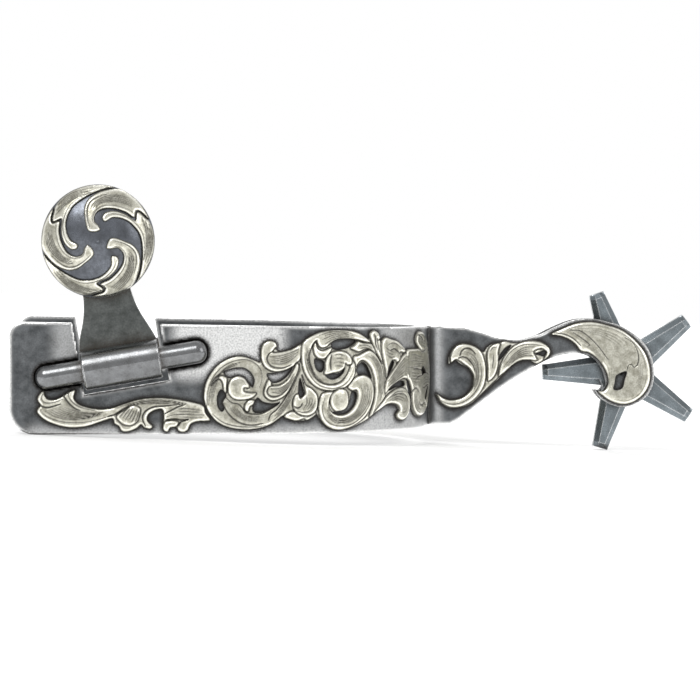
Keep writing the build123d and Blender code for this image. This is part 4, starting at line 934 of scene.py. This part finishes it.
def forge_shank():
    """Closed mesh of the shank from its left half and the mirror image."""
    values, outer, border = cut_sheet(neck)
    count = len(values)
    x, z = values[:, 0], values[:, 1]
    into_slot = np.clip((x - FORK_SLOT_X) / FORK_HALF_GAP, 0, 1)
    gap = FORK_HALF_GAP * np.sqrt(1 - (1 - into_slot) ** 2)
    half = np.vstack([on_shank(x, z, values[:, 2]), np.stack([x, -gap, z], -1)])
    faces = outer + [[count + k for k in reversed(face)] for face in outer if gap[face].max() > 0]
    faces += [[b, a, count + a, count + b] for a, b in border.tolist()]
    mirrored = [[2 * count + k for k in reversed(face)] for face in faces]
    # The outline's border is painted bright, part rubbed wear and part painted highlight on the filed edge
    edge = np.maximum(np.exp(-((values[:, 4] / 0.4) ** 2)), values[:, 5])
    marks = {"ink": np.tile(np.concatenate([values[:, 3], np.zeros(count)]), 2),
             "edge": np.tile(np.concatenate([edge, 0.5 * edge]), 2)}
    return np.vstack([half, half * (1, -1, 1)]), faces + mirrored, marks


print("shank drawing:", neck.inside.shape, "points")


# %% [markdown]
# Old dark steel is never one grey. It is mottled where oil and age have browned it, its sheen varies from
# handling, and its corners are painted bright, partly as rubbed wear and partly as a painted highlight.
# These are the same on the band, the rowel and the hinges,
# so they are made once as a node group, with the amounts left open for each material.

# %% Aged metal with painted edge highlights, shared by all the materials
def new_group(name, inputs, outputs):
    """A shader node group with named sockets: its tree, what it is given and what it puts out."""
    tree = bpy.data.node_groups.new(name, "ShaderNodeTree")
    for label, kind, value in inputs:
        tree.interface.new_socket(label, in_out="INPUT", socket_type=kind).default_value = value
    for label, kind in outputs:
        tree.interface.new_socket(label, in_out="OUTPUT", socket_type=kind)
    return tree, tree.nodes.new("NodeGroupInput").outputs, tree.nodes.new("NodeGroupOutput").inputs


def plug(tree, source, socket):
    """Links a socket to a source, or sets it where the source is a plain value."""
    if isinstance(source, bpy.types.NodeSocket):
        tree.links.new(source, socket)
    else:
        socket.default_value = source


def node(tree, kind, sources=(), **settings):
    """Adds a node, sets its properties and plugs its inputs."""
    made = tree.nodes.new(kind)
    for key, value in settings.items():
        setattr(made, key, value)
    for socket, source in dict(sources).items():
        plug(tree, source, made.inputs[socket])
    return made


def reckon(tree, operation, *values, clamp=False):
    """Result of a sum on numbers or sockets."""
    return node(tree, "ShaderNodeMath", enumerate(values), operation=operation, use_clamp=clamp).outputs[0]


def ramp(tree, value, low, high, to_low=0.0, to_high=1.0):
    """A value carried from one range to another and held at its ends."""
    return node(tree, "ShaderNodeMapRange", {"Value": value, "From Min": low, "From Max": high, "To Min": to_low,
                                             "To Max": to_high}).outputs[0]


def blend_colours(tree, amount, first, second):
    """Result of mixing two colours by an amount."""
    return node(tree, "ShaderNodeMix", {0: amount, 6: first, 7: second}, data_type="RGBA").outputs[2]


def metal_age_and_edge_highlight_group():
    """Mottling and handling marks of old metal, and its edges painted bright, part rubbed wear and part painted
    highlight.
    """
    tree, given, out = new_group(
        "Aged metal and edge highlight",
        [("Clean Colour", "NodeSocketColor", (0.5, 0.5, 0.5, 1)),
         ("Aged Colour", "NodeSocketColor", (0.2, 0.2, 0.2, 1)),
         ("Rubbed And Highlight Colour", "NodeSocketColor", (0.7, 0.7, 0.7, 1)),
         ("Patch Scale", "NodeSocketFloat", 150.0), ("Age", "NodeSocketFloat", 0.5),
         ("Edge Wear And Highlight", "NodeSocketFloat", 0.5), ("Roughness", "NodeSocketFloat", 0.35)],
        [("Colour", "NodeSocketColor"), ("Roughness", "NodeSocketFloat"), ("Height", "NodeSocketFloat")],
    )
    place = node(tree, "ShaderNodeTexCoord").outputs["Object"]
    patches = node(tree, "ShaderNodeTexNoise", {"Vector": place, "Scale": given["Patch Scale"], "Detail": 6.0,
                                                "Roughness": 0.65}).outputs["Fac"]
    fine = node(tree, "ShaderNodeTexNoise", {"Vector": place, "Scale": 2600.0, "Detail": 3.0}).outputs["Fac"]
    aged = reckon(tree, "MULTIPLY", ramp(tree, patches, 0.38, 0.68), given["Age"])
    colour = blend_colours(tree, aged, given["Clean Colour"], given["Aged Colour"])
    colour = blend_colours(tree, ramp(tree, fine, 0.35, 0.65, 0.0, 0.35), colour, given["Aged Colour"])
    # Rounded edges found by the bevel, and the drawn edge mark, are painted bright: part rubbed wear, part painted
    # highlight
    rounded = node(tree, "ShaderNodeBevel", {"Radius": 0.0004}, samples=4).outputs[0]
    true = node(tree, "ShaderNodeNewGeometry").outputs["Normal"]
    along = node(tree, "ShaderNodeVectorMath", {0: rounded, 1: true}, operation="DOT_PRODUCT").outputs["Value"]
    drawn = node(tree, "ShaderNodeAttribute", attribute_name="edge").outputs["Fac"]
    corner = reckon(tree, "MAXIMUM", ramp(tree, along, 0.995, 0.80), drawn)
    corner = reckon(tree, "MULTIPLY", corner, ramp(tree, fine, 0.3, 0.6, 0.5))
    wear_and_highlight_edges = reckon(tree, "MULTIPLY", corner, given["Edge Wear And Highlight"], clamp=True)
    colour = blend_colours(tree, wear_and_highlight_edges, colour, given["Rubbed And Highlight Colour"])
    rough = reckon(tree, "MULTIPLY_ADD", reckon(tree, "ADD", fine, -0.5), 0.18, given["Roughness"])
    rough = reckon(tree, "MULTIPLY_ADD", aged, 0.12, rough)
    for label, source in (("Colour", colour), ("Roughness", rough), ("Height", fine)):
        tree.links.new(source, out[label])
    return tree


aged_metal_and_edge_highlight = metal_age_and_edge_highlight_group()
print("shared effect:", aged_metal_and_edge_highlight.name)

# %% [markdown]
# The silversmith blackens the whole spur and polishes it back, so black stays in the cuts, round the silver
# as a fine stipple, and wherever two parts meet. The drawn mark says where the cuts are, and it also carries
# painted shade in the leaves' middles, in the pin's slot and along the shank's root. The meeting places are found
# by ambient occlusion, which is dark where a surface has a close neighbour, so the black there is partly painted shade.

# %% Blackening and painted seam shade, shared by all the materials
def blackening_and_seam_shade_group():
    """Black left in cuts and seams, with painted shade from occlusion in the seams, broken into a stipple at its
    border.
    """
    tree, given, out = new_group(
        "Blackening and seam shade",
        [("Metal Colour", "NodeSocketColor", (0.5, 0.5, 0.5, 1)), ("Metal Roughness", "NodeSocketFloat", 0.35),
         ("Black Colour", "NodeSocketColor", (0.012, 0.010, 0.008, 1)), ("Stipple", "NodeSocketFloat", 0.5),
         ("Seam Reach", "NodeSocketFloat", 0.0012), ("Seams", "NodeSocketFloat", 0.8)],
        [("Colour", "NodeSocketColor"), ("Roughness", "NodeSocketFloat"), ("Metallic", "NodeSocketFloat")],
    )
    place = node(tree, "ShaderNodeTexCoord").outputs["Object"]
    drawn = node(tree, "ShaderNodeAttribute", attribute_name="ink").outputs["Fac"]
    # Painted shade: occlusion darkens where a surface has a close neighbour, over the black wax in the seams
    openness = node(tree, "ShaderNodeAmbientOcclusion", {"Distance": given["Seam Reach"]}, samples=6).outputs["AO"]
    seam = reckon(tree, "MULTIPLY", ramp(tree, openness, 0.85, 0.35), given["Seams"])
    mark = reckon(tree, "MAXIMUM", drawn, seam)
    dots = node(tree, "ShaderNodeTexNoise", {"Vector": place, "Scale": 4200.0, "Detail": 1.0}).outputs["Fac"]
    dots = reckon(tree, "MULTIPLY", reckon(tree, "ADD", dots, -0.5), given["Stipple"])
    border = reckon(tree, "MULTIPLY", mark, reckon(tree, "SUBTRACT", 1.0, mark))
    mark = reckon(tree, "MULTIPLY_ADD", border, dots, mark, clamp=True)
    for label, source in (("Colour", blend_colours(tree, mark, given["Metal Colour"], given["Black Colour"])),
                          ("Roughness", ramp(tree, mark, 0.0, 1.0, given["Metal Roughness"], 0.65)),
                          ("Metallic", ramp(tree, mark, 0.0, 1.0, 1.0, 0.4))):
        tree.links.new(source, out[label])
    return tree


blackening_and_seam_shade = blackening_and_seam_shade_group()
print("shared effect:", blackening_and_seam_shade.name)

# %% [markdown]
# Each metal of the spur is the same shader with its own colours and amounts. The band and shank are dark
# steel, and the hanger is darker still. The hinge and the rowel are rubbed lighter by use, the button under
# its leaves is a little blue, and the overlays are warm pale silver.

# %% The metals
# Brown-black of old wax, which also colours the painted shade in the seams of the hinges and hanger
WAX_AND_SEAM_SHADE = (0.035, 0.021, 0.010)


def metal(name, clean, aged, rubbed_and_highlight_colour, scale, age, edge_wear_and_highlight_amount, roughness, stipple=6.0, seams=0.8,
          reach=0.0014, black=(0.012, 0.010, 0.008)):
    """A Principled metal fed by the aged metal group with its painted edge highlights, then by the blackening group
    with its painted seam shade.
    """
    made = bpy.data.materials.new(name)
    made.use_nodes = True
    tree = made.node_tree
    shader = tree.nodes["Principled BSDF"]
    skin = node(tree, "ShaderNodeGroup", node_tree=aged_metal_and_edge_highlight)
    for label, value in (("Clean Colour", (*clean, 1)), ("Aged Colour", (*aged, 1)), ("Rubbed And Highlight Colour", (*rubbed_and_highlight_colour, 1)),
                         ("Patch Scale", scale), ("Age", age), ("Edge Wear And Highlight", edge_wear_and_highlight_amount), ("Roughness", roughness)):
        skin.inputs[label].default_value = value
    oxide_and_seam_shade = node(tree, "ShaderNodeGroup", node_tree=blackening_and_seam_shade)
    for label, value in (("Stipple", stipple), ("Seams", seams), ("Seam Reach", reach), ("Black Colour", (*black, 1))):
        oxide_and_seam_shade.inputs[label].default_value = value
    tree.links.new(skin.outputs["Colour"], oxide_and_seam_shade.inputs["Metal Colour"])
    tree.links.new(skin.outputs["Roughness"], oxide_and_seam_shade.inputs["Metal Roughness"])
    bump = node(tree, "ShaderNodeBump", {"Height": skin.outputs["Height"], "Strength": 0.3, "Distance": 0.00004})
    tree.links.new(oxide_and_seam_shade.outputs["Colour"], shader.inputs["Base Color"])
    tree.links.new(oxide_and_seam_shade.outputs["Roughness"], shader.inputs["Roughness"])
    tree.links.new(oxide_and_seam_shade.outputs["Metallic"], shader.inputs["Metallic"])
    tree.links.new(bump.outputs["Normal"], shader.inputs["Normal"])
    return made


band_steel = metal("band steel", (0.118, 0.124, 0.129), (0.045, 0.048, 0.050), (0.82, 0.82, 0.81),
                   330.0, 1.0, 0.95, 0.33)
hinge_steel = metal("hinge steel", (0.19, 0.195, 0.20), (0.09, 0.09, 0.09), (0.85, 0.85, 0.85), 300.0, 0.8, 0.9, 0.20,
                    reach=0.005, black=WAX_AND_SEAM_SHADE)
hanger_steel = metal("hanger steel", (0.10, 0.106, 0.103), (0.035, 0.038, 0.036), (0.7, 0.7, 0.7),
                     300.0, 0.8, 0.8, 0.34, reach=0.005, black=WAX_AND_SEAM_SHADE)
rowel_steel = metal("rowel steel", (0.175, 0.20, 0.215), (0.07, 0.08, 0.085), (0.9, 0.9, 0.9), 260.0, 0.7, 1.0, 0.24,
                    reach=0.003)
button_steel = metal("button steel", (0.135, 0.145, 0.165), (0.05, 0.053, 0.058), (0.75, 0.75, 0.75),
                     260.0, 0.9, 0.6, 0.26)
silver = metal("antiqued silver", (0.62, 0.61, 0.53), (0.24, 0.23, 0.18), (0.95, 0.94, 0.86), 620.0, 0.9, 1.0, 0.25,
               stipple=2.0, seams=0.0)
finishes = {"band_steel": band_steel, "hinge_steel": hinge_steel, "hanger_steel": hanger_steel,
            "rowel_steel": rowel_steel, "button_steel": button_steel, "antiqued_silver": silver}
print("metals:", sorted(finishes))

# %% [markdown]
# Each carved sheet now becomes its left and right pieces, and the strip becomes the band. They ride on the same
# bodies as the pieces they stand for, so the button's leaves swing with the button.

# %% Bend the band and lay the silver
for name, sheet, seat, body, stands_for in (
    ("carved_spray", spray, on_band, "band", "band_leaf_spray_{}"),
    ("carved_scroll", scroll, on_band, "band", "band_scroll_{}"),
    ("carved_flower", flower, on_band, "band", "band_flower_{}"),
    ("carved_neck_leaf", neck_leaf, on_shank, "band", "shank_leaf_{}"),
    ("carved_cheek_leaf", cheek_leaf, on_shank, "band", "rowel_cap_leaf_{}"),
    ("carved_pinwheel", swirl, on_button, "{}_button", "button_scroll_{}"),
):
    points, faces, marks = solid_from_sheet(sheet, seat)
    both_sides(name, points, faces, marks, body, [stands_for], "antiqued_silver", silver)
piece("bent_heel_band", *plate_from_sheet(strip, on_band, BAND_OUT_R - BAND_IN_R), "band", ["heel_band"],
      "band_steel", band_steel)
shank = piece("forged_shank", *forge_shank(), "band", ["shank"], "band_steel", band_steel)
welded = bmesh.new()
welded.from_mesh(shank.data)
bmesh.ops.remove_doubles(welded, verts=welded.verts, dist=1e-6)
welded.to_mesh(shank.data)
welded.free()


# %% [markdown]
# The turned and forged parts already have their true shape in the frame, so they keep it
# and only take on their metal. The name of each piece says which metal it is made of.

# %% Finish on the frame's own pieces
METAL_OF = (("rowel_pin", "hinge_steel"), ("rowel_cap", "antiqued_silver"), ("rowel", "rowel_steel"),
            ("heel_band", "band_steel"), ("shank_leaf", "antiqued_silver"), ("shank", "band_steel"),
            ("hinge", "hinge_steel"), ("button_scroll", "antiqued_silver"), ("button_rivet", "hinge_steel"),
            ("button_hanger", "hanger_steel"), ("button", "button_steel"), ("band_", "antiqued_silver"))
for name in nodes:
    metal_name = next(finish for start, finish in METAL_OF if name.startswith(start))
    thing = bpy.data.objects[name]
    thing.data.materials.clear()
    thing.data.materials.append(finishes[metal_name])
print("finished pieces:", len(nodes))

# %% [markdown]
# The table is a pale sheet under soft light from wide lamps, as metal needs: what shines is what it mirrors,
# so large, gentle sources draw the shape and small ones would only make glints. Light Path tells the eye and
# the mirrored rays apart from the rays that only light, so the background is white to the eye and in the
# metal without lighting the spur more. Close to the spur the table glows less to the eye, which keeps its shadow.

# %% Table, light and air
TABLE_HALF = 3.0
SHADOW_REACH, WHITE_FROM, NEAR_GLOW = 0.12, 0.9, 0.22
ROOM_LIGHT = 0.6


def background_rays(tree, straight=1.0):
    """How strongly the background shows: straight to the eye, and fully in a reflection or through glass."""
    seen = node(tree, "ShaderNodeLightPath").outputs
    found = reckon(tree, "MULTIPLY", seen["Is Camera Ray"], straight)
    for kind in ("Is Glossy Ray", "Is Transmission Ray"):
        found = reckon(tree, "MAXIMUM", found, seen[kind])
    return found


paper = bpy.data.materials.new("pale paper")
paper.use_nodes = True
tree = paper.node_tree
sheet_shader = tree.nodes["Principled BSDF"]
place = node(tree, "ShaderNodeTexCoord").outputs["Object"]
grain = node(tree, "ShaderNodeTexNoise", {"Vector": place, "Scale": 60.0, "Detail": 4.0}).outputs["Fac"]
tree.links.new(blend_colours(tree, grain, (0.80, 0.80, 0.80, 1), (0.84, 0.84, 0.84, 1)),
               sheet_shader.inputs["Base Color"])
sheet_shader.inputs["Roughness"].default_value = 0.9
away = node(tree, "ShaderNodeVectorMath", {0: place}, operation="LENGTH").outputs["Value"]
lift = background_rays(tree, ramp(tree, away, SHADOW_REACH, WHITE_FROM, NEAR_GLOW))
glow = node(tree, "ShaderNodeEmission", {"Color": (1, 1, 1, 1), "Strength": lift})
both = node(tree, "ShaderNodeAddShader", {0: sheet_shader.outputs[0], 1: glow.outputs[0]})
tree.links.new(both.outputs[0], tree.nodes["Material Output"].inputs["Surface"])
corners = [(x * TABLE_HALF, y * TABLE_HALF, 0) for x, y in ((-1, -1), (1, -1), (1, 1), (-1, 1))]
table_mesh = bpy.data.meshes.new("table")
table_mesh.from_pydata(corners, [], [(0, 1, 2, 3)])
table_mesh.materials.append(paper)
table = bpy.data.objects.new("table", table_mesh)
bpy.context.scene.collection.objects.link(table)

world = bpy.data.worlds.new("soft room")
bpy.context.scene.world = world
world.use_nodes = True
tree = world.node_tree
level = node(tree, "ShaderNodeMix", {0: background_rays(tree), 2: ROOM_LIGHT, 3: 1.0}, data_type="FLOAT")
tree.links.new(level.outputs[0], tree.nodes["Background"].inputs["Strength"])
tree.nodes["Background"].inputs["Color"].default_value = (1, 1, 1, 1)


def lamp(name, place, aim, size, watts):
    """A soft square lamp turned towards a point."""
    data = bpy.data.lights.new(name, "AREA")
    data.size = size
    data.energy = watts
    thing = bpy.data.objects.new(name, data)
    thing.location = place
    thing.rotation_euler = (Vector(aim) - Vector(place)).to_track_quat("-Z", "Y").to_euler()
    bpy.context.scene.collection.objects.link(thing)


LAMP_AIM = (0, 0, 0.02)
lamp("key lamp", (-0.35, -0.60, 0.75), LAMP_AIM, 0.45, 4.5)
lamp("fill lamp", (0.75, -0.45, 0.40), LAMP_AIM, 0.5, 2.0)
lamp("back lamp", (0.10, 0.70, 0.70), LAMP_AIM, 0.5, 3.0)

# %% [markdown]
# The camera stands level with the spur, a good arm's length off its near side, and looks straight across it
# with a long lens, so that the far branch hides almost exactly behind the near one.

# %% Camera
LENS = 180.57
EYE = (-32.0, -834.25, 38.7)
AIM = (22.7, -44.25, 18.9)
eye, aim = Vector(to_row(EYE)), Vector(to_row(AIM))
forward = (aim - eye).normalized()
right = forward.cross(up).normalized()
camera_data = bpy.data.cameras.new("camera")
camera_data.lens = LENS
camera_data.sensor_width = 36.0
camera_data.clip_start = 0.01
camera = bpy.data.objects.new("camera", camera_data)
turn = Matrix((right, right.cross(forward), -forward)).transposed().to_4x4()
camera.matrix_world = Matrix.Translation(eye) @ turn
bpy.context.scene.collection.objects.link(camera)
bpy.context.scene.camera = camera
bpy.context.scene.view_settings.view_transform = "Standard"
print("camera distance:", round((aim - eye).length, 3), "m")

# %% [markdown]
